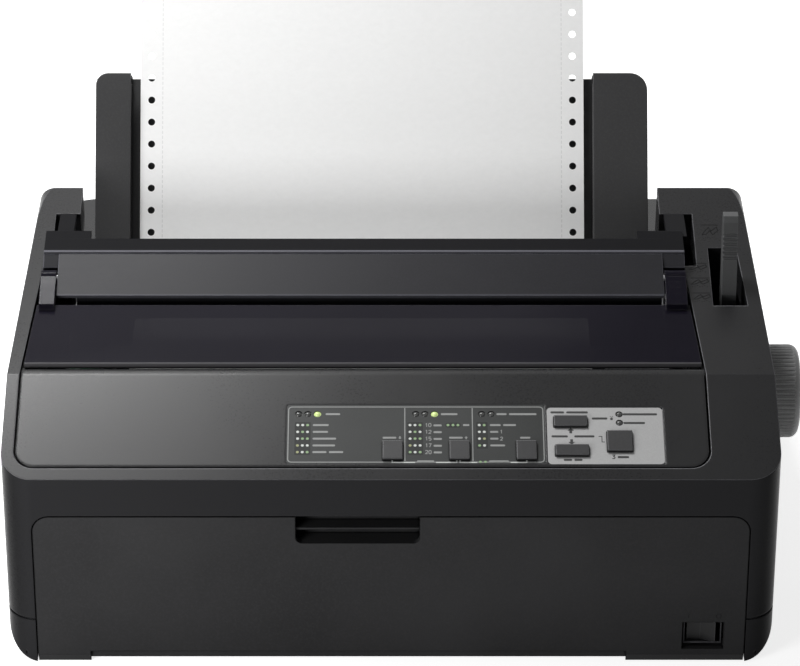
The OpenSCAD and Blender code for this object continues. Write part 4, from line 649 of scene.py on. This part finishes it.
# the states that the lamps of each group stand for: w pale, g green, o olive
TABLES = (
    (-49.2, 2.58, ("wwg", "wgw", "wgg", "oww", "owg")),
    (10.05, 2.63, ("wwg", "wgw", "wgg", "oww", "gwg")),
    (46.6, 2.60, ("wg", "ww", "wo", "gw")),
)
inks = {state: Print(on_panel, 0.01, 0.05) for state in "wgo"}
for x, pitch, table in TABLES:
    for row, states in enumerate(table):
        for column, state in enumerate(states):
            inks[state].dot(x + column * pitch, ROWS[row], DOT_R)
for column in range(3):
    inks["g"].dot(30.1 + 2.63 * column, ROWS[0], DOT_R)
for column in range(2):
    inks["g"].dot(46.9 + 2.6 * column, 11.9, DOT_R * 0.9)

# words are plain bars, and figures stay figures
words = Print(on_panel)
for x0, x1, y in ((-34.6, -26.9, LAMP_ROW), (26.4, 35.2, LAMP_ROW),
                  (55.8, 61.2, LAMP_ROW), (62.4, 77.0, LAMP_ROW),
                  (-41.3, -32.9, ROWS[0]), (-41.3, -33.2, ROWS[1]), (-41.3, -28.9, ROWS[2]),
                  (-41.3, -29.4, ROWS[3]), (-41.3, -33.9, ROWS[4]), (-32.6, -25.1, ROWS[4]),
                  (38.0, 41.4, ROWS[0]), (52.2, 57.9, ROWS[0]), (59.2, 66.0, ROWS[0]),
                  (52.2, 56.6, ROWS[1]), (52.2, 56.6, ROWS[2]), (52.2, 60.0, ROWS[3]),
                  (-4.4, 2.8, KEY_ROW), (30.6, 37.8, KEY_ROW), (68.0, 73.4, KEY_ROW),
                  (13.6, 22.6, FOOT_ROW), (51.4, 61.8, FOOT_ROW)):
    words.bar(x0, x1, y, WORD)
for row, figures in enumerate(("10", "12", "15", "17", "20")):
    words.digits(figures, 18.1, ROWS[row], 2.2, STROKE)
    words.bar(22.4, 26.8, ROWS[row] - 0.2, WORD)
words.digits("1", 57.6, ROWS[1], 2.1, STROKE)
words.digits("2", 57.6, ROWS[2], 2.1, STROKE)
words.arrow(4.7, KEY_ROW, 0.95, -1)
words.arrow(39.6, KEY_ROW, 0.95, 1)
# frame of the whole legend and the two dividers
words.line(round_box(-54.2, 11.7, 80.4, 48.3, 1.9), FRAME_STROKE, True)
for x in (7.3, 43.0):
    words.line([(x, 47.6), (x, 12.4)], FRAME_STROKE)
words.finish("legend_words", "base", "legend", GREY_INK)

# brackets that tie keys together, brighter than the frame
for path in ([(0.6, 12.9), (0.6, BRACKET_ROW), (12.6, BRACKET_ROW)],
             [(23.6, BRACKET_ROW), (34.5, BRACKET_ROW), (34.5, 12.9)],
             [(36.2, 12.9), (36.2, BRACKET_ROW), (45.2, BRACKET_ROW)],
             [(62.8, BRACKET_ROW), (71.2, BRACKET_ROW), (71.2, 12.9)]):
    inks["w"].line(path, 0.6)
for state, name, shade in (("w", "legend_pale", PALE_INK), ("g", "legend_green", GREEN_INK),
                           ("o", "legend_olive", OLIVE_INK)):
    inks[state].finish(name, "base", "legend", shade)

# dark marks on the silver plate
marks = Print(on_panel)
for x0, x1, y in ((84.4, 91.6, 44.7), (92.8, 104.2, 44.7), (84.6, 93.2, 28.7), (96.6, 107.2, 28.7),
                  (90.6, 95.0, 13.2), (96.2, 100.4, 13.2), (106.2, 114.4, 40.6),
                  (122.6, 140.8, 43.4), (122.8, 134.2, 37.6), (118.9, 124.9, 15.0)):
    marks.bar(x0, x1, y, 1.35)
marks.digits("3", 116.2, 15.2, 2.3, 0.5)
marks.arrow(94.8, 32.5, 1.75, 1)
marks.arrow(95.1, 25.0, 1.75, -1)
marks.dot(116.6, 40.3, 0.75)
marks.line([(115.8, 42.0), (116.5, 41.4)], 0.3)
marks.line([(117.4, 42.0), (116.7, 41.4)], 0.3)
marks.line([(109.4, 28.7), (111.1, 28.7), (111.1, 25.0), (112.6, 25.0)], STROKE)
marks.finish("silver_marks", "base", "silver_film", BLACK_INK)

# small pictures of sheets in front of the lever's settings, pressed into the right-hand top, drawn
# near-black as painted shade
SHEET = ((0.04, 0.36), (0.20, 0.58), (0.44, 0.84), (0.58, 0.60), (0.92, 0.86), (0.98, 0.62),
         (0.66, 0.36), (0.50, 0.62), (0.30, 0.40))
pictures = Print(on_top, -0.02, 0.03)
for x0, x1, y0, y1 in ((172.8, 182.4, -0.4, 12.6), (163.8, 174.2, -28.0, -19.9),
                       (164.2, 174.6, -40.3, -32.2), (164.8, 174.8, -52.6, -44.6)):
    wide, deep = x1 - x0, y1 - y0
    pictures.line([(x0, y1), (x1, y1)], 0.3)
    pictures.line([(x0 + a * wide, y0 + b * deep) for a, b in SHEET], 0.32, True)
    for k in range(7):
        pictures.dot(x0 + (0.1 + 0.13 * k) * wide, y0 + (0.10 + 0.06 * (k % 3)) * deep, 0.24, 8)
pictures.finish("setting_pictures", "base", "case", PAINTED_PICTURE_SHADE)

# marks of the mains switch, a bar and a ring
switch = Print(on_front, -0.02, 0.03)
switch.line([(158.6, 28.9), (158.6, 31.7)], 0.45)
TURNS = [2 * math.pi * k / 20 for k in range(20)]
switch.line([(174.6 + 1.3 * math.cos(t), 30.3 + 1.4 * math.sin(t)) for t in TURNS], 0.4, True)
switch.finish("switch_marks", "base", "case", SLOTS["case"])
